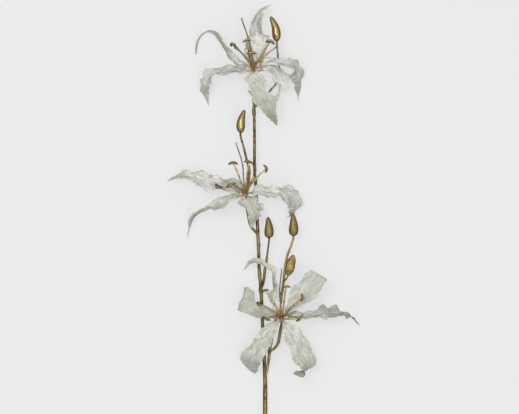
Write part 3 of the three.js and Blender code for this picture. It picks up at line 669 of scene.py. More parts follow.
CUP_SIDES = 36
CUP_SHARP = 50
CUP_OUTLINE = [  # height on the bloom's axis, radius
    (-10.8, 2.2), (-10.0, 2.25), (-8.8, 2.5), (-7.2, 2.95), (-6.0, 3.6), (-4.6, 4.3), (-3.6, 4.75),
    (-3.2, 4.9), (-2.0, 4.9), (-1.86, 4.82), (-1.8, 4.6),
]


def turned_on_axis(bloom, outline, made_with=strand):
    """A strand on a bloom's axis, with a radius at each height of its outline."""
    heights, radii = zip(*outline)
    return made_with([on_axis(bloom, height) for height in heights], radii)


# Each cup gets the lighter stem gold, which is a painted light.
for bloom in CUP_SEATS:
    piece = made_by(strand_tree, bloom + "_receptacle", strand_start([turned_on_axis(bloom, CUP_OUTLINE)]), {
        "Sides": CUP_SIDES,
        "Bark Relief": 0.15 * MM,
        "Bark Stretch": (1.0, 1.0, 1.0),
        "Material": stem_golds["light"],
    })
    piece.data.set_sharp_from_angle(angle=math.radians(CUP_SHARP))
    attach(piece, "root")
    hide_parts(bloom + "_cup")

# The petals: blades of stiffened cloth, cut narrow at the root and to a long tip, six to a bloom.
# Each is pressed with a midrib and fine lengthwise veins, and its edges are drawn out into waves.
# All are held at the root between the cup and the ring of stamens, and bent by hand.

PETAL_ALONG = 150  # rows of faces
PETAL_ACROSS = 28
PETAL_THICKNESS = 0.5
PETAL_SHARP = 70
# A petal starts under the ring of stamens, and runs straight for as long as the ring holds it.
ROOT_RADIUS = 3.3
ROOT_HEIGHT = -0.5
ROOT_HALF_WIDTH = 1.5
HELD_LENGTH = 9
HELD_RISE = 1.5
HELD_HALF_WIDTH = 3.6
# Its edges have large waves and a ragged line, which is the sum of two rows of quick small waves.
EDGE_SHIFT = 2.1  # how far the waves of one edge are behind those of the other, in radians
EDGE_REACH = 0.08  # how much the large waves widen the petal, as a share
RAGGED_EDGE = 0.5
RAGGED_WAVES = (11, 17.3)
RAGGED_SHIFTS = (4, 3)
RAGGED_PHASE = 5
KINK_FALL = 1.5  # how fast a bend in an edge dies away from its middle, as a power
FULL_RUFFLE_HALF_WIDTH = 14  # a narrower place has lower waves
FULL_VEIN_HALF_WIDTH = 9  # and one narrower than this has weaker veins and creases
DYE_AND_SHADE_SPREAD = 2.2  # a power: a higher one keeps the tip's deeper dye and painted shade nearer to the tip
SEED_STEP = 3.7  # from one petal's creases to the next one's
SEED_REACH = 50  # and from one bloom's to another's, by how far up the spray it is
USUAL_PHASE = 0.4
# A petal leaves its cup at an angle. Its waves are how many each edge has, its ruffle is how high they are,
# its phase is where they start, and its dye is how deep the darker dye and painted shade are at root and
# tip.
# Its stations are x, y, z, half width, roll and fold, as in the solids, in millimetres and degrees.
# A kink is a place where an edge was bent by hand: share of the length, edge, reach, lift, half length.
# A slant is how far the edges are drawn along the petal, one forwards and the other back.
PETALS = {
    "top": [
        {"way": "up", "angle": 86, "waves": 3, "ruffle": 2.2, "dye_and_shade": (0, 0.25),
         "stations": [(-21, 336, 61, 15, 0, 5), (-18, 352, 66, 22, 0, 5), (-15, 370, 72, 23, 0, 0),
            (-12, 384, 74, 21, 0, -20), (-14, 400, 66, 19, 0, -45), (-14, 420, 52, 14, 0, -45),
            (-6, 435, 40, 8, 0, -30), (14, 449.4, 27, 1, 0, 0)],
         "kinks": [(0.47, -1, 7, 0, 7), (0.3, 1, -4, 0, 14), (0.68, -1, 0, -6, 38)]},
        {"way": "right", "angle": 30, "waves": 4, "ruffle": 2.4, "phase": 2.0, "dye_and_shade": (0, 0.7),
         "stations": [(-2, 331, 62, 8, 0, 10), (14, 335, 64, 8, -15, 15), (30, 332, 63, 10, -15, 15),
            (48, 329, 58, 12, -10, 10), (62, 324, 48, 15, 5, 5), (66, 308, 33, 17, 35, 0),
            (68, 291, 19, 12, 35, 5), (69, 274, 3, 6, 20, 5), (70, 257, -2, 1, 0, 0)],
         "kinks": [(0.54, 1, 6, 0, 7), (0.585, 1, -3, 0, 5), (0.7, 1, 3, 0, 14), (0.51, -1, -7, 0, 9),
            (0.6, -1, 6, 0, 9), (0.75, -1, -6, 0, 14)]},
        {"way": "looped", "angle": -28, "waves": 4, "ruffle": 2.5, "phase": 1.0, "dye_and_shade": (0, 0.35),
         "stations": [(-4, 321, 49, 8, 22, 0), (10, 321, 46, 9, 30, 0), (24, 315, 44, 14, 30, 0),
            (33, 300, 43, 18, 35, 0), (36, 284, 44, 10, 50, 20), (33, 274, 46, 6, 50, 30),
            (26, 262, 48, 6, 40, 20), (12, 257, 50, 7, 10, 0), (-4, 260, 50, 8, 0, 0),
            (-20, 267, 49, 6, 0, 0), (-33, 276, 48, 1, 0, 0)],
         "kinks": [(0.41, 1, 6, 0, 6), (0.455, 1, -3, 0, 5), (0.5, 1, 4, 0, 6), (0.2, 1, -4, 0, 14),
            (0.6, 1, -4, 0, 10)]},
        {"way": "front", "angle": -94, "waves": 3, "ruffle": 2.6, "phase": 0.6, "dye_and_shade": (0.28, 1.35),
         "stations": [(-20, 304, 62, 16, 0, 5), (-12, 288, 68, 19, 0, 5), (-4, 272, 72, 18, 0, 5),
            (1, 258, 71, 20, 0, 0), (9, 242, 64, 16, 0, 0), (17, 224, 53, 9, 0, 10),
            (26, 206, 40, 1, 0, 0)],
         "kinks": [(0.36, 1, -7, 2, 36), (0.1, -1, 7, 0, 14), (0.24, -1, 3, 0, 8), (0.48, -1, 7, 0, 14),
            (0.72, -1, -3, 0, 10), (0.36, 1, 5, 0, 9)]},
        {"way": "left", "angle": 206, "waves": 4, "ruffle": 3, "phase": 0.2, "dye_and_shade": (0, 0.65),
         "stations": [(-42, 315, 57, 9, 0, 5), (-58, 317, 58, 13, 0, 10), (-76, 313, 57, 16, 15, 10),
            (-94, 312, 52, 15, 10, 15), (-107, 305, 44, 16, -10, 10), (-116, 294, 34, 14, -45, 5),
            (-119, 280, 22, 12, -48, 5), (-117, 263, 5, 7, -45, 0), (-112, 247, -2, 1, -45, 0)],
         "kinks": [(0.55, -1, 4, 0, 6), (0.63, -1, -4, 0, 5), (0.68, -1, 6, 0, 7)]},
        {"way": "upper_left", "angle": 146, "waves": 3, "ruffle": 2, "phase": 1.4, "dye_and_shade": (0, 0.45),
         "stations": [(-44, 328, 61, 10, 0, 5), (-60, 333, 62, 14, 15, 30), (-72, 343, 58, 13, 35, 40),
            (-77, 355, 52, 11, 55, 45), (-84, 366, 46, 10, 60, 45), (-92, 379, 40, 9, 62, 45),
            (-101, 389, 34, 7, 68, 45), (-112, 394, 27, 4, 70, 45), (-125, 388, 20, 2.8, 70, 40),
            (-134, 374, 11, 2.2, 66, 35), (-138, 350, 0, 1, 60, 0)],
         "kinks": [(0.16, 1, 4, 0, 10), (0.35, 1, 3, 0, 8)]},
    ],
    "middle": [
        {"way": "right", "angle": 14, "waves": 5, "ruffle": 3, "dye_and_shade": (0, 0.4),
         "stations": [(-20, 74, 58, 10, 0, 5), (-2, 75, 60, 13, 0, 10), (14, 71, 59, 16, -10, 15),
            (28, 71, 57, 13, 0, 15), (42, 69, 53, 18, 0, 5), (54, 61, 46, 20, 10, 0),
            (61, 49, 37, 19, 30, 0), (61, 38, 29, 16, 35, 0), (56, 27, 21, 9, 25, 10),
            (46, 20, 17, 1, 0, 0)],
         "kinks": [(0.29, -1, 9, 2, 12), (0.38, -1, 4, 0, 6), (0.44, -1, -3, 0, 6), (0.5, -1, 5, 0, 10),
            (0.6, -1, 5, 0, 10), (0.54, 1, 4, 0, 9), (0.6, 1, 5, 0, 8), (0.67, 1, 10, 0, 10),
            (0.86, 1, -4, 0, 8)]},
        {"way": "behind_up", "angle": 78, "waves": 3, "ruffle": 2, "dye_and_shade": (0.1, 0.3),
         "stations": [(-44, 80, 46, 7, 0, 10), (-52, 86, 36, 10, 0, 20), (-62, 86, 22, 13, 0, 30),
            (-80, 86, 10, 15, 0, 30), (-100, 92, 6, 13, 0, 30), (-120, 101, 4, 8, 0, 20),
            (-136, 105, 3, 1, 0, 0)]},
        {"way": "left", "angle": 150, "waves": 5, "ruffle": 3, "phase": 2.2, "dye_and_shade": (0, 0.2),
         "stations": [(-56, 74, 59, 9, 0, 5), (-74, 80, 61, 11, 10, 10), (-92, 87, 61, 15, 0, 10),
            (-110, 90, 58, 19, -5, 10), (-126, 97, 54, 18, 0, 10), (-144, 104, 47, 13, 0, 10),
            (-166, 105, 38, 10, 0, 10), (-194, 95, 28, 1, 0, 0)],
         "kinks": [(0.62, -1, 4, 1, 8), (0.43, 1, 5, 0, 10), (0.54, 1, 3, 0, 8), (0.72, -1, -3, 0, 7)]},
        {"way": "lower_left", "angle": 208, "waves": 3, "ruffle": 3, "phase": 0, "dye_and_shade": (0, 0.4),
         "stations": [(-54, 64, 58, 8, 0, 5), (-70, 60, 60, 11, 10, 10), (-84, 52, 60, 16, -5, 10),
            (-98, 44, 54, 13, 10, 15), (-110, 38, 48, 8, 50, 55), (-122, 33, 41, 9, 40, 55),
            (-134, 27, 33, 8, 10, 45), (-142, 19, 25, 7, 0, 45), (-149, 4, 11, 6, 0, 35),
            (-153, -8, 2, 4, 0, 5), (-155, -23, -2, 1, 0, 0)],
         "kinks": [(0.27, 1, 6, 0, 14), (0.35, 1, 7, 0, 11)]},
        {"way": "behind_down", "angle": 260, "waves": 3, "ruffle": 1.5, "dye_and_shade": (0, 0),
         "stations": [(-44, 56, 58, 6, 0, 10), (-46, 50, 52, 5.5, -10, 20), (-40, 46, 47, 5.5, -45, 20),
            (-30, 43, 44, 7, -80, 10), (-15, 41, 42, 8, -90, 0), (-4, 41, 40, 7.5, -90, 0),
            (-1, 41, 39, 6, -90, 0)]},
        {"way": "down", "angle": 310, "waves": 3, "ruffle": 1.6, "dye_and_shade": (0.5, 0.5),
         "stations": [(-29, 60, 66, 12, 0, 0), (-26, 48, 76, 15, 0, -25), (-23, 36, 82, 16, 0, -30),
            (-20, 23, 80, 14, 0, -30), (-22, 11, 70, 8, 0, -20), (-26, 0, 56, 1, 0, 0)],
         "kinks": [(0.45, -1, -5, 0, 26), (0.15, 1, 5, 0, 9), (0.68, 1, 5, 0, 10)]},
    ],
    "lower": [
        {"way": "up", "angle": 102, "waves": 3, "ruffle": 1.4, "dye_and_shade": (0, 0.6),
         "stations": [(26, -164, 49, 8, 0, 10), (20, -148, 47, 10, 0, 20), (17, -134, 45, 12, 10, 30),
            (19, -120, 43, 10, 50, 50), (18, -106, 42, 7.5, 60, 45), (18, -94, 42, 7, 50, 45),
            (15, -84, 42, 9, 20, 40), (5, -77, 41, 7, 10, 50), (-6, -70, 38, 7, 0, 45),
            (-18, -67, 33, 7, 0, 40), (-30, -71, 26, 5, 0, 20), (-40, -84, 18, 1, 0, 0)],
         "kinks": [(0.33, 1, 3, 0, 9), (0.42, 1, 6, 0, 10), (0.24, -1, 6, 0, 16), (0.2, 1, -3, 0, 12),
            (0.575, -1, 4, 0, 9)]},
        {"way": "upper_right", "angle": 48, "waves": 3, "ruffle": 1.6, "dye_and_shade": (0.3, 0.6),
         "stations": [(46, -167, 54, 7, 0, 5), (61, -151, 57, 15, 0, 5), (78, -130, 60, 21, 0, 5),
            (96, -109, 61, 23, 0, 0), (110, -93, 56, 19, 0, 0), (106, -104, 44, 14, 0, 10),
            (94, -120, 34, 8, 0, 10), (82, -136, 26, 1, 0, 0)],
         "kinks": [(0.36, 1, 5, 0, 24), (0.62, 1, -4, 0, 10), (0.46, -1, 6, 0, 36)]},
        {"way": "right", "angle": -4, "waves": 6, "ruffle": 3, "dye_and_shade": (0.25, 0.9),
         "stations": [(54, -177, 53, 10, 10, 5), (70, -176, 51, 11, 8, 10), (84, -176, 48, 9.5, 12, 15),
            (98, -174, 45, 9, 12, 15), (110, -172, 42, 12, 0, 15), (123, -170, 38, 18, -5, 5),
            (136, -171, 34, 19, -5, 5), (149, -170, 29, 17, -10, 10), (162, -174, 21, 13, -20, 10),
            (174, -178, 13, 8, -20, 10), (184, -187, 2, 5, -5, 5), (194, -198, -2, 1, 0, 0)],
         "kinks": [(0.5, 1, 3, 1, 7), (0.66, 1, 2, 1, 7), (0.39, -1, 3, 0, 16), (0.47, -1, 2, -6, 10),
            (0.61, -1, 0, 5, 9), (0.73, -1, 0, -9, 13)]},
        {"way": "lower_right", "angle": -60, "waves": 4, "ruffle": 2, "dye_and_shade": (0.12, 0.9),
         "stations": [(45, -196, 57, 11, 0, 5), (58, -215, 61, 20, 0, 5), (68, -236, 62, 23, 0, 0),
            (80, -256, 60, 24, 0, 0), (87, -274, 54, 19, 0, 0), (84, -286, 50, 13, -25, 0),
            (79, -291, 50, 8, -100, 0), (72, -292, 52, 7, -175, 0), (65, -291, 52, 5, -180, 0),
            (59, -291, 52, 1, -180, 0)],
         "kinks": [(0.36, 1, 3, 0, 8), (0.42, -1, -4, 0, 22), (0.7, -1, -3, 2, 10), (0.8, 1, -7, 0, 14)]},
        {"way": "lower_left", "angle": 238, "waves": 3, "ruffle": 2, "dye_and_shade": (0.1, 0.8),
         "stations": [(18, -197, 56, 13, 0, 5), (6, -211, 58, 18, 0, 5), (-3, -230, 56, 19, 0, 5),
            (-17, -249, 50, 22, 0, 0), (-27, -266, 38, 22, -18, 0), (-26, -278, 27, 17, -32, 0),
            (-22, -287, 18, 10, -35, 0), (-18, -294, 11, 1, -35, 0)],
         "kinks": [(0.52, -1, -3, 1, 10), (0.35, 1, 2, 0, 8)]},
        {"way": "left", "angle": 170, "waves": 2, "ruffle": 1.6, "slant": -8, "dye_and_shade": (0.55, 0.85),
         "stations": [(22, -178, 54, 7, 0, 5), (10, -173, 51, 11, -20, 20), (-3, -168, 47, 14, -30, 20),
            (-17, -161, 44, 19, -40, 10), (-31, -151, 41, 25, -42, 0), (-45, -145, 35, 25, -42, 0),
            (-43, -147, 23, 19, -42, 0), (-31, -152, 13, 11, -42, 0), (-19, -156, 9, 1, -42, 0)],
         "kinks": [(0.44, -1, -10, 0, 16), (0.6, -1, 2, 0, 7), (0.68, -1, 0, 9, 20), (0.52, 1, -8, -5, 26),
            (0.72, 1, 0, -3, 16)]},
    ],
}

# One tree presses the veins, the midrib, the crumples and the small flutter of the edges into the cloth.
cloth_tree, given = making_tree("pressed_cloth", [
    ("Vein Pitch", "Float", 3.2 * MM),
    ("Vein Depth", "Float", 0.10 * MM),
    ("Wander Pitch", "Float", 14 * MM),
    ("Midrib Depth", "Float", 0.5 * MM),
    ("Midrib Narrowness", "Float", 14.0),
    ("Crumple Pitch", "Float", 16 * MM),
    ("Crumple Depth", "Float", 1.1 * MM),
    ("Crease Pitch", "Float", 4.5 * MM),
    ("Crease Depth", "Float", 0.38 * MM),
    ("Flutter", "Float", 0.8 * MM),
    ("Flutter Pitch", "Float", 9 * MM),
    ("Seed", "Float", 0.0),
    ("Lowest", "Float", PETAL_THICKNESS * MM),
])
across = attribute(cloth_tree, "across")
on_cloth = attribute(cloth_tree, "on_cloth", "FLOAT_VECTOR")


def vector_of(x, y, z):
    """A vector from three values, of which some are sockets."""
    given = {"X": x, "Y": y, "Z": z}
    return place(tree_of(given.values()), "ShaderNodeCombineXYZ", given).outputs[0]


def cloth_noise(stretch, pitch, seed_step):
    """A noise on the flat cloth, mostly from -1 to 1, with lumps a pitch wide and longer along the petal."""
    level = noise(cloth_tree, {
        "Vector": vector_calc("MULTIPLY", on_cloth, (1.0, 1.0 / stretch, 1.0)),
        "W": plus(given["Seed"], seed_step),
        "Scale": calc("DIVIDE", 1.0, pitch),
        "Detail": 1.0,
    }, noise_dimensions="4D")
    return times(minus(level, 0.5), 4.0)


wander = cloth_noise(3.0, given["Wander Pitch"], 0.0)
turns = plus(calc("DIVIDE", parts(on_cloth)["X"], given["Vein Pitch"]), wander)
veins = times(calc("COSINE", times(turns, 2 * math.pi)), given["Vein Depth"])
from_midrib = times(across, given["Midrib Narrowness"])
midrib = times(calc("EXPONENT", times(from_midrib, from_midrib, -1.0)), given["Midrib Depth"])
crumples = times(cloth_noise(1.3, given["Crumple Pitch"], 3.0), given["Crumple Depth"])
creases = times(calc("ABSOLUTE", cloth_noise(3.0, given["Crease Pitch"], 6.0)), given["Crease Depth"])
flutter = times(cloth_noise(1.0, given["Flutter Pitch"], 9.0), given["Flutter"], across, across)
lift = plus(minus(plus(veins, flutter), midrib), minus(crumples, creases))
raised_cloth = raised(given["Geometry"], times(lift, attribute(cloth_tree, "fullness")))
spot = parts(position(cloth_tree))
above = calc("MAXIMUM", spot["Z"], given["Lowest"])
end_tree(shifted(raised_cloth, {"Position": vector_of(spot["X"], spot["Y"], above)}), given["Material"])

# The dyed cloth of both faces: pale and dark streaks along the petal, painted shade in its creases, flecks
# and a fine weave.
THREAD_PITCH = 0.5
STREAK_WIDTH = 3.4
STREAK_LENGTH = 12
CREASE_WIDTH = 9
CREASE_LENGTH = 34
STREAK_LEVELS = (0.34, 0.66)  # the levels of a noise at which what it draws starts, and is whole
CREASE_LEVELS = (0.05, 0.0)
FLECK_LEVELS = (0.52, 0.7)
PATCH_DYE_AND_SHADE = (0.4, 1.2)  # how much of the deeper dye and painted shade is everywhere, and how much more comes in patches
ROOT_ENDS = (0.15, 0.02)  # how far up the petal the root's colour starts, and is at its fullest
ROOT_FULLEST = 0.75
WEAVE_HEIGHT = 0.04  # heights are shares of a streak's
FLECK_HEIGHT = 0.6
CREASE_HEIGHT = 0.4
PALE_ROUGHNESS = 0.72
DARK_ROUGHER = 0.15
CLOTH_RELIEF = 0.9
dyed_and_shaded_cloth, given = new_group("ShaderNodeTree", "dyed_and_shaded_cloth", [
    ("Light", "Color", (0.6, 0.6, 0.5, 1)),
    ("Dark", "Color", (0.4, 0.4, 0.3, 1)),
    ("Root", "Color", (0.4, 0.3, 0.15, 1)),
    ("Shaded Dye", "Color", (0.35, 0.35, 0.25, 1)),
    ("Streaks", "Float", 0.8),
    ("Crease Shade", "Float", 0.35),
    ("Flecks", "Float", 0.35),
    ("Patches", "Float", 0.9),
], COAT_OUTPUTS)
here = place(dyed_and_shaded_cloth, "ShaderNodeTexCoord").outputs["Object"]
thread = place(dyed_and_shaded_cloth, "ShaderNodeUVMap", uv_map="thread").outputs["UV"]
own_patch = vector_calc("MULTIPLY", here, (9.0, 9.0, 15.0))


def along_cloth(width, length, detail):
    """A noise drawn along the petal, with lumps of a width and a length in metres, from 0 to 1."""
    flat = vector_calc("MULTIPLY", thread, (1 / width, 1 / length, 1.0))
    return noise(dyed_and_shaded_cloth, {
        "Vector": vector_calc("ADD", flat, own_patch),
        "Scale": 1.0, "Detail": detail, "Roughness": 0.6, "Distortion": 0.3,
    })


streaks = along_cloth(STREAK_WIDTH * MM, STREAK_LENGTH * MM, 3.0)
# Each crease is pressed into the relief and darkened in the colour, which is a painted shade.
crease = calc("ABSOLUTE", minus(along_cloth(CREASE_WIDTH * MM, CREASE_LENGTH * MM, 2.0), 0.5))
crease = ramp(crease, *CREASE_LEVELS)
flecks = noise(dyed_and_shaded_cloth, {"Vector": here, "Scale": 300.0, "Roughness": 0.6})
patches = noise(dyed_and_shaded_cloth, {"Vector": here, "Scale": 42.0})
shade = plus(
    times(ramp(streaks, *STREAK_LEVELS), given["Streaks"]),
    times(crease, given["Crease Shade"]),
    times(ramp(flecks, *FLECK_LEVELS), given["Flecks"]),
    times(minus(patches, 0.5), given["Patches"]),
)
dyed = mix_colours(shade, given["Light"], given["Dark"])
# A deeper dye towards the tip and on some whole petals, which paints the shade of drooping and shaded
# petals.
depth = place(dyed_and_shaded_cloth, "ShaderNodeAttribute", attribute_name="dye_and_shade_depth").outputs["Fac"]
patchy = plus(times(patches, PATCH_DYE_AND_SHADE[1]), PATCH_DYE_AND_SHADE[0])
dyed = mix_colours(times(patchy, depth), dyed, given["Shaded Dye"])
up_the_petal = parts(place(dyed_and_shaded_cloth, "ShaderNodeUVMap", uv_map="cloth").outputs["UV"])["Y"]
dyed = mix_colours(times(ramp(up_the_petal, *ROOT_ENDS), ROOT_FULLEST), dyed, given["Root"])
turns = parts(scaled(thread, 2 * math.pi / (THREAD_PITCH * MM)))
weave = times(calc("SINE", turns["X"]), calc("SINE", turns["Y"]))
relief = plus(times(weave, WEAVE_HEIGHT), times(flecks, FLECK_HEIGHT))
place(dyed_and_shaded_cloth, "NodeGroupOutput", {
    "Color": dyed,
    "Roughness": plus(times(shade, DARK_ROUGHER), PALE_ROUGHNESS),
    "Height": minus(relief, plus(streaks, times(crease, CREASE_HEIGHT))),
})


def petal_cloth(name, values):
    made, surface = new_material(name)
    dye_and_shade = coated(surface, dyed_and_shaded_cloth, values)
    dress(surface, dye_and_shade, dye_and_shade["Color"], CLOTH_RELIEF)
    feed(surface, {"Specular IOR Level": 0.25, "Sheen Weight": 0.12, "Sheen Roughness": 0.5})
    return made


petal_face = petal_cloth("petal_face", {
    "Light": (0.82, 0.825, 0.78, 1), "Dark": (0.45, 0.46, 0.39, 1),
    "Root": (0.42, 0.32, 0.16, 1), "Shaded Dye": (0.34, 0.35, 0.27, 1), "Streaks": 0.58,
})
petal_back = petal_cloth("petal_back", {
    "Light": (0.52, 0.52, 0.42, 1), "Dark": (0.30, 0.305, 0.225, 1),
    "Root": (0.36, 0.28, 0.14, 1), "Shaded Dye": (0.26, 0.265, 0.18, 1), "Streaks": 0.5,
})


def petal_blade(bloom, petal):
    """The open front face of a petal, with where each point lies across and along its cloth."""
    axis = cup_axis(bloom)
    angle = math.radians(petal["angle"])
    outward = np.array([1, 0, 0]) * math.cos(angle) + np.cross(axis, (1, 0, 0)) * math.sin(angle)
    root = on_axis(bloom, ROOT_HEIGHT) + outward * ROOT_RADIUS
    held = root + outward * HELD_LENGTH + axis * HELD_RISE
    roots = [(*root, ROOT_HALF_WIDTH, 0, 0), (*held, HELD_HALF_WIDTH, 0, 0)]
    stations = np.array([*roots, *petal["stations"]])
    route = smooth_route(stations[:, :3])
    length = route["length"]
    shares = np.linspace(0, 1, PETAL_ALONG + 1)
    points = read_route(route, shares)
    passed = np.interp(shares, route["along"], route["passed"])
    half, roll, fold = (faired(stations[:, k], passed)[:, None] for k in (3, 4, 5))
    roll, fold = np.radians(roll), np.radians(fold)
    tangents, normals = carried_frames(points, axis)
    turned = normals * np.cos(roll) + np.cross(tangents, normals) * np.sin(roll)
    sides = np.cross(turned, tangents)
    bent = {edge: np.zeros((2, len(shares))) for edge in (-1, 1)}
    for share, edge, reach, lift, half_length in petal.get("kinks", []):
        near = np.maximum(0, 1 - np.abs(shares - share) * length / half_length) ** KINK_FALL
        bent[edge] += np.outer((reach, lift), near)
    across = np.linspace(-1, 1, PETAL_ACROSS + 1)
    right = across > 0
    pulled, lifted = (np.where(right, bent[1][k][:, None], bent[-1][k][:, None]) for k in (0, 1))
    phase = petal.get("phase", USUAL_PHASE)
    turns = 2 * math.pi * shares[:, None]
    wave = np.sin(petal["waves"] * turns + phase + EDGE_SHIFT * right)
    full = np.minimum(1, half / FULL_VEIN_HALF_WIDTH)
    ragged = np.sin(RAGGED_WAVES[0] * turns + RAGGED_PHASE * phase + RAGGED_SHIFTS[0] * right)
    ragged += np.sin(RAGGED_WAVES[1] * turns + RAGGED_SHIFTS[1] * right)
    pulled = pulled + RAGGED_EDGE * ragged * full
    reach = half * across * (1 + EDGE_REACH * wave * np.abs(across)) + pulled * across * np.abs(across)
    ruffle = petal["ruffle"] * np.minimum(1, half / FULL_RUFFLE_HALF_WIDTH)
    lift = np.abs(reach) * np.sin(fold) + (ruffle * wave + lifted) * across**2
    flat_reach = reach * np.cos(fold)
    slant = petal.get("slant", 0) / length * np.sin(math.pi * shares)[:, None]
    middle = read_route(route, np.clip(shares[:, None] + slant * across, 0, 1))
    places = middle + sides[:, None] * flat_reach[:, :, None] + turned[:, None] * lift[:, :, None]
    threads = np.stack([reach.ravel(), np.repeat(shares * length, len(across))], axis=1) * MM
    columns = PETAL_ACROSS + 1
    starts = [i * columns + j for i in range(PETAL_ALONG) for j in range(PETAL_ACROSS)]
    faces = [(a, a + columns, a + columns + 1, a + 1) for a in starts]
    mesh = bpy.data.meshes.new("petal")
    mesh.from_pydata((places.reshape(-1, 3) * MM).tolist(), [], faces)
    give(mesh, "across", np.tile(across, len(shares)))
    give(mesh, "fullness", np.repeat(full, len(across)))
    give(mesh, "on_cloth", np.column_stack([threads, np.zeros(len(threads))]), "FLOAT_VECTOR")
    return mesh, threads


def two_faced(mesh, threads, thickness, dye_and_shade):
    """Gives a pressed petal its back and its rim, with a cloth map on every face and its depth of dye and
    painted shade.
    """
    rows, columns = PETAL_ALONG + 1, PETAL_ACROSS + 1
    count = rows * columns
    front = np.zeros(count * 3)
    mesh.vertices.foreach_get("co", front)
    grid = front.reshape(rows, columns, 3)
    along = np.vstack([grid[1:], grid[-1:]]) - np.vstack([grid[:1], grid[:-1]])
    across = np.concatenate([grid[:, 1:], grid[:, -1:]], 1) - np.concatenate([grid[:, :1], grid[:, :-1]], 1)
    normals = np.cross(along, across)
    normals /= np.linalg.norm(normals, axis=2)[:, :, None]
    back = grid - normals * thickness
    back[:, :, 2] = np.maximum(back[:, :, 2], 0)
    places = np.vstack([grid.reshape(-1, 3), back.reshape(-1, 3)])
    faces = [tuple(face.vertices) for face in mesh.polygons]
    backs = [tuple(k + count for k in reversed(face)) for face in faces]
    rim = list(range(columns - 1))
    rim += [i * columns + columns - 1 for i in range(rows - 1)]
    rim += [(rows - 1) * columns + j for j in range(columns - 1, 0, -1)]
    rim += [i * columns for i in range(rows - 1, 0, -1)]
    walls = [(a, b, b + count, a + count) for a, b in zip(rim, rim[1:] + rim[:1])]
    made = bpy.data.meshes.new(mesh.name)
    made.from_pydata(places.tolist(), [], faces + backs + walls)
    for material in (petal_face, petal_back):
        made.materials.append(material)
    slots = [0] * len(faces) + [1] * len(backs) + [0] * len(walls)
    made.polygons.foreach_set("material_index", slots)
    made.polygons.foreach_set("use_smooth", [True] * len(slots))
    corners = np.zeros(len(made.loops), int)
    made.loops.foreach_get("vertex_index", corners)
    flat = [(j / PETAL_ACROSS, i / PETAL_ALONG) for i in range(rows) for j in range(columns)]
    for name, values in (("cloth", flat), ("thread", threads)):
        made.uv_layers.new(name=name).data.foreach_set("uv", np.array(values)[corners % count].ravel())
    # How deep the dye and its painted shade are, from the root to the tip.
    depth = np.interp(np.linspace(0, 1, rows) ** DYE_AND_SHADE_SPREAD, (0, 1), dye_and_shade)
    give(made, "dye_and_shade_depth", np.tile(np.repeat(depth, columns), 2))
    made.set_sharp_from_angle(angle=math.radians(PETAL_SHARP))
    return made


for bloom, petals in PETALS.items():
    for number, petal in enumerate(petals):
        name = bloom + "_petal_" + petal["way"]
        start, threads = petal_blade(bloom, petal)
        pressed = made_by(cloth_tree, name + "_cloth", start, {
            "Seed": SEED_STEP * number + CUP_SEATS[bloom][0][1] / SEED_REACH,
            "Material": petal_face,
        })
        pressed.data = two_faced(pressed.data, threads, PETAL_THICKNESS * MM, petal["dye_and_shade"])
        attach(pressed, "root")
        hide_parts(name)

# The stamens: six wires coated in clear orange-brown plastic that darkens to gold, fixed in a ring.
# The ring presses the petals on the cup. Each wire carries a moulded anther, a bent bar with two lobes.

WIRE_SIDES = 10
WIRE_RADIUS = 2.2
WIRE_TAPER = 0.95
WIRE_STEPS = 44
WIRE_RISE = 12
WIRE_LEAN = 4
WIRE_ARCH = 3
ARCH_SHARE = 0.45  # how far back from the anther the arch is
WIRE_RELIEF = 0.08
WIRE_GRAIN = 500.0  # lumps to a metre
ANTHER_STEPS = 17
ANTHER_SIDES = 14
ANTHER_FULLNESS = 3.0  # a higher power keeps an anther thick until nearer its ends
ANTHER_BLUNTNESS = 0.55  # and a lower one makes its ends blunter
ANTHER_END = 0.02
RING_OUTLINE = [(0.5, 4.2), (0.7, 4.3), (2.2, 4.0), (3.3, 3.6), (3.7, 3.2)]  # height on the axis, radius
RING_MIDDLE = 3.35
RING_HEIGHT = 1.6
# Each stamen has the place where it ends, the way its anther lies, the anther's length and thickness as
# shares of the usual ones, and how deep a painted shade darkens the whole anther.
STAMENS = {
    "top": [
        ((-35, 374, 94), (1, 0.25, 0.2), (0.95, 0.9), 0),
        ((-25, 348, 108), (1, 0, 0), (1.05, 1.1), 0.4),
        ((-56, 359, 94), (0.4, -0.35, 0.8), (0.8, 1.5), 0.9),
        ((-64, 367, 80), (0.5, 0.1, 0.85), (0.9, 1.4), 0),
        ((13, 372, 92), (0.9, -0.25, 0), (0.95, 1.35), 0),
        ((24, 360, 88), (0.3, 0.2, 0.9), (0.6, 0.8), 0),
    ],
    "middle": [
        ((-62, 131, 70), (1, 0.05, 0), (1, 1.15), 0),
        ((-30, 133, 74), (0.95, -0.25, 0), (1, 1), 0.8),
        ((5, 119, 78), (-0.25, 0.95, 0.2), (0.85, 1.2), 0),
        ((-92, 82, 84), (0.85, -0.45, 0.2), (0.85, 1.5), 0.8),
        ((-66, 87, 104), (0.9, 0.35, 0), (1, 1.3), 0.7),
        ((-22, 98, 104), (0.6, 0.8, 0), (0.8, 1), 0),
    ],
    "lower": [
        ((4, -180, 106), (0.85, -0.45, 0.2), (0.9, 1.2), 0.8),
        ((-12, -150, 84), (0.25, -0.4, 0.85), (0.7, 1.5), 1),
        ((2, -124, 66), (0.9, 0.3, 0.2), (0.8, 1), 0),
        ((44, -116, 86), (1, 0.1, 0), (0.9, 0.9), 0),
        ((77, -139, 84), (0.15, 0.95, 0.2), (0.85, 1.2), 0.3),
        ((72, -180, 102), (0.7, 0.7, 0.2), (1.05, 1.1), 0),
    ],
}

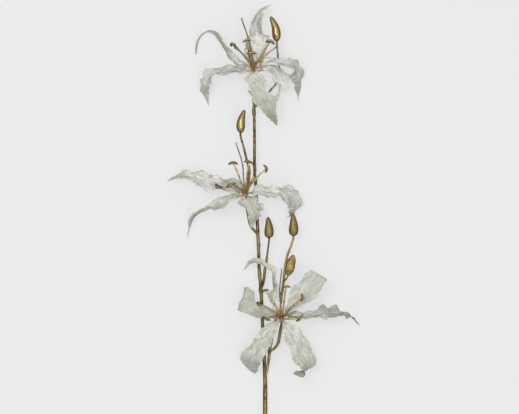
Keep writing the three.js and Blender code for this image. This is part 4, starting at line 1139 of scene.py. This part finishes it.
# One tree makes a bloom's stamens: its wires as round strands, and an anther on each wire's end.
stamen_tree, given = making_tree("stamen_cluster", [
    ("Wire Sides", "Int", WIRE_SIDES),
    ("Anther Length", "Float", 20 * MM),
    ("Anther Radius", "Float", 2.4 * MM),
    ("Anther Sag", "Float", 4.0 * MM),
    ("Lobes", "Float", 0.22),
    ("Grain Relief", "Float", 0.25 * MM),
])
wires = place(stamen_tree, "GeometryNodeGroup", {
    "Geometry": given["Geometry"],
    "Sides": given["Wire Sides"],
    "Bark Relief": WIRE_RELIEF * MM,
    "Bark Grain": WIRE_GRAIN,
    "Material": given["Material"],
}, node_tree=strand_tree).outputs[0]
bar = place(stamen_tree, "GeometryNodeMeshLine", {
    "Count": ANTHER_STEPS, "Start Location": (-0.5, 0, 0), "Offset": (0.5, 0, 0),
}, mode="END_POINTS").outputs[0]
spot = parts(position(stamen_tree))["X"]
share = times(spot, 2.0)
drop = times(share, share, given["Anther Sag"], -1.0)
bent = shifted(bar, {"Position": vector_of(times(spot, given["Anther Length"]), 0.0, drop)})
reached = calc("DIVIDE", calc("ABSOLUTE", spot), times(given["Anther Length"], 0.5))
taper = calc("MAXIMUM", minus(1.0, calc("POWER", reached, ANTHER_FULLNESS)), ANTHER_END)
thick = times(calc("POWER", taper, ANTHER_BLUNTNESS), given["Anther Radius"])
around = parts(position(stamen_tree))
squeeze = times(around["X"], around["X"], given["Lobes"])
lobed = shifted(circle(stamen_tree, ANTHER_SIDES), {
    "Offset": vector_of(times(around["X"], given["Lobes"], -0.5), times(around["Y"], squeeze), 0.0),
})
anther = tube(bent, lobed, thick)
grain = times(minus(noise(stamen_tree, {"Scale": 900.0}), 0.5), given["Grain Relief"])
# The anthers' faces are marked by how far they turn to the top, for a painted shade on their undersides.
facing = parts(normal(stamen_tree))["Z"]
marked = place(stamen_tree, "GeometryNodeStoreNamedAttribute", {  # 1 on its underside, up to 2 on its top
    "Geometry": raised(anther, grain), "Name": "anther", "Value": plus(calc("MAXIMUM", facing, 0.0), 1.0),
}, data_type="FLOAT", domain="POINT").outputs[0]
turn = place(stamen_tree, "FunctionNodeAxesToRotation", {
    "Primary Axis": attribute(stamen_tree, "anther_along", "FLOAT_VECTOR"),
    "Secondary Axis": attribute(stamen_tree, "anther_up", "FLOAT_VECTOR"),
}, primary_axis="X", secondary_axis="Z").outputs[0]
anthers = place(stamen_tree, "GeometryNodeInstanceOnPoints", {
    "Points": given["Geometry"],
    "Selection": attribute(stamen_tree, "bears_anther", "BOOLEAN"),
    "Instance": marked,
    "Rotation": turn,
    "Scale": attribute(stamen_tree, "anther_size", "FLOAT_VECTOR"),
}).outputs[0]
both = place(stamen_tree, "GeometryNodeJoinGeometry")
for shape in (anthers, wires):
    stamen_tree.links.new(shape, both.inputs[0])
end_tree(both.outputs[0], given["Material"])

# The stamens' colours: clear orange-brown at the root, gold along the wire, painted shade under the anthers.
ANTHER_GOLD = (0.46, 0.35, 0.14, 1)
ANTHER_SHADE_COLOUR = (0.085, 0.066, 0.02, 1)
CLEAR_ORANGE = (0.62, 0.37, 0.1, 1)
ORANGE_REACH = 0.4  # how far up the wire the clear orange goes
MOST_ORANGE = 0.85
SIDE_LEVELS = (1.25, 1.85)  # how far an anther's faces turn upwards from its dark side to its gold one
MOST_ANTHER_SHADE = 0.85
ANTHER_COVER = 0.85  # how far the anther's own colours hide the wire's


def painted(surface, name):
    """A value that a mesh's points carry, in a material."""
    return place(surface.id_data, "ShaderNodeAttribute", attribute_name=name).outputs["Fac"]


stamen_gold, surface = new_material("stamen_gold")
coat = coated(surface, gilding, {
    "Gold": (0.62, 0.46, 0.19, 1), "Brown": (0.20, 0.145, 0.045, 1),
    "Patch Scale": 170.0, "Stretch": (1.0, 0.7, 1.0), "Wear": 0.45, "Roughness": 0.36,
})
anther_side = painted(surface, "anther")
on_anther = ramp(anther_side, 0.0, 1.0, ease="LINEAR")
# Painted shade: dark on each anther's underside, and over the whole of the anthers listed as darker.
under = ramp(anther_side, *SIDE_LEVELS, 1.0, 0.0, ease="LINEAR")
under = calc("MAXIMUM", under, times(painted(surface, "anther_dark"), MOST_ANTHER_SHADE))
anther_colour = mix_colours(under, ANTHER_GOLD, ANTHER_SHADE_COLOUR)
rooted = ramp(painted(surface, "from_root"), 0.0, ORANGE_REACH, MOST_ORANGE, 0.0)
rooted = times(rooted, minus(1.0, on_anther))
tone = mix_colours(rooted, coat["Color"], CLEAR_ORANGE)
tone = mix_colours(times(on_anther, ANTHER_COVER), tone, anther_colour)
# Painted shade darkens the wires and anthers on their sides and undersides, as on the gilded parts.
dress(surface, coat, shaded_sides_and_underside(tone, 0.65), 0.15)
feed(surface, {"Metallic": 0.4, "Specular IOR Level": 0.2})


def wire_strand(points, radius, from_root=0):
    """A strand of a stamen or a pistil, with no anther, that knows how far it is from its root."""
    count = len(points)
    return strand(
        points,
        radius,
        from_root=np.broadcast_to(from_root, count).astype(float),
        bears_anther=np.zeros(count),
        anther_along=np.zeros((count, 3)),
        anther_up=np.zeros((count, 3)),
        anther_size=np.ones((count, 3)),
        anther_dark=np.zeros(count),
    )


for bloom, stamens in STAMENS.items():
    axis = cup_axis(bloom)
    strands = [turned_on_axis(bloom, RING_OUTLINE, wire_strand)]
    for end, lies, (length, thickness), painted_shade in stamens:
        end = np.array(end, float)
        out = end - on_axis(bloom, 0)
        out = unit(out - axis * out.dot(axis))
        root = on_axis(bloom, RING_HEIGHT) + out * RING_MIDDLE
        rise = root + axis * WIRE_RISE + out * WIRE_LEAN
        arch = end + (rise - end) * ARCH_SHARE + axis * WIRE_ARCH
        shares = np.linspace(0, 1, WIRE_STEPS)
        points = read_route(smooth_route([root, rise, arch, end]), shares)
        wire = wire_strand(points, WIRE_RADIUS - WIRE_TAPER * shares, shares)
        wire["bears_anther"][-1] = 1
        wire["anther_along"][-1] = unit(lies)
        wire["anther_up"][-1] = unit(points[-1] - points[-5])
        wire["anther_size"][-1] = (length, thickness, thickness)
        wire["anther_dark"][-1] = painted_shade
        strands.append(wire)
    start = strand_start(strands)
    piece = made_by(stamen_tree, bloom + "_stamen_cluster", start, {"Material": stamen_gold})
    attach(piece, "root")
    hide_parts(bloom + "_stamens")

# The pistils: an ovary moulded on a thin wire style, which ends in three pale spreading branches.
# The ovary stands in the ring of stamens.

OVARY_OUTLINE = [  # height on the axis, radius
    (0.6, 1.6), (2.0, 1.75), (4.5, 1.95), (7.5, 2.0), (10.0, 1.85), (12.0, 1.5), (13.0, 1.0),
]
STYLE_RADIUS = 1.35
STYLE_TAPER = 0.1
STYLE_START = 10
STYLE_STEPS = 60
STIGMA_LENGTH = 8
STIGMA_SPREAD = 0.5
STIGMA_SINK = 1
STIGMA_RADIUS = 0.86
STIGMA_TAPER = 0.42
STIGMA_STEPS = 12
STIGMA_FROM = 0.9  # what from_root is where the style ends and its branches start
STYLES = {
    "top": [(-25, 352, 74), (-33, 383, 84), (-43, 412, 88)],
    "middle": [(-41, 100, 70), (-43, 128, 76), (-54, 164, 80)],
    "lower": [(33, -150, 66), (31, -126, 74), (35, -86, 80)],
}
STYLE_ROOT = (0.42, 0.25, 0.10, 1)
STIGMA_PALE = (0.52, 0.49, 0.40, 1)
MOST_ROOT = 0.8
MOST_PALE = 0.75
ROOT_REACH = 0.35

style_brown, surface = new_material("style_brown")
coat = coated(surface, gilding, {
    "Gold": (0.20, 0.165, 0.085, 1), "Brown": (0.07, 0.06, 0.03, 1),
    "Patch Scale": 220.0, "Stretch": (1.0, 0.4, 1.0), "Wear": 0.5, "Roughness": 0.5,
})
way_up = painted(surface, "from_root")
tone = mix_colours(ramp(way_up, 0.0, ROOT_REACH, MOST_ROOT, 0.0, ease="LINEAR"), coat["Color"], STYLE_ROOT)
tone = mix_colours(ramp(way_up, STIGMA_FROM, 1.0, 0.0, MOST_PALE, ease="LINEAR"), tone, STIGMA_PALE)
dress(surface, coat, tone, 0.1)
feed(surface, {"Metallic": 0.3})

for bloom, style in STYLES.items():
    shares = np.linspace(0, 1, STYLE_STEPS)
    points = read_route(smooth_route([on_axis(bloom, STYLE_START), *style]), shares)
    strands = [
        turned_on_axis(bloom, OVARY_OUTLINE, wire_strand),
        wire_strand(points, STYLE_RADIUS * (1 - STYLE_TAPER * shares), shares * STIGMA_FROM),
    ]
    way = unit(points[-1] - points[-4])
    side = unit(np.cross(cup_axis(bloom), way))
    reach = np.linspace(0, 1, STIGMA_STEPS)
    for turn in (0, 120, 240):
        out = np.array(Quaternion(Vector(way), math.radians(turn)) @ Vector(side))
        branch = points[-1] + np.outer(STIGMA_LENGTH * reach - STIGMA_SINK, way)
        branch += np.outer(STIGMA_LENGTH * STIGMA_SPREAD * reach**2, out)
        from_root = STIGMA_FROM + (1 - STIGMA_FROM) * reach
        strands.append(wire_strand(branch, STIGMA_RADIUS - STIGMA_TAPER * reach, from_root))
    piece = made_by(strand_tree, bloom + "_style_and_ovary", strand_start(strands), {
        "Sides": WIRE_SIDES,
        "Bark Relief": WIRE_RELIEF * MM,
        "Bark Grain": WIRE_GRAIN,
        "Bark Stretch": (1.0, 0.4, 1.0),
        "Material": style_brown,
    })
    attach(piece, "root")
    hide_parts(bloom + "_pistil")
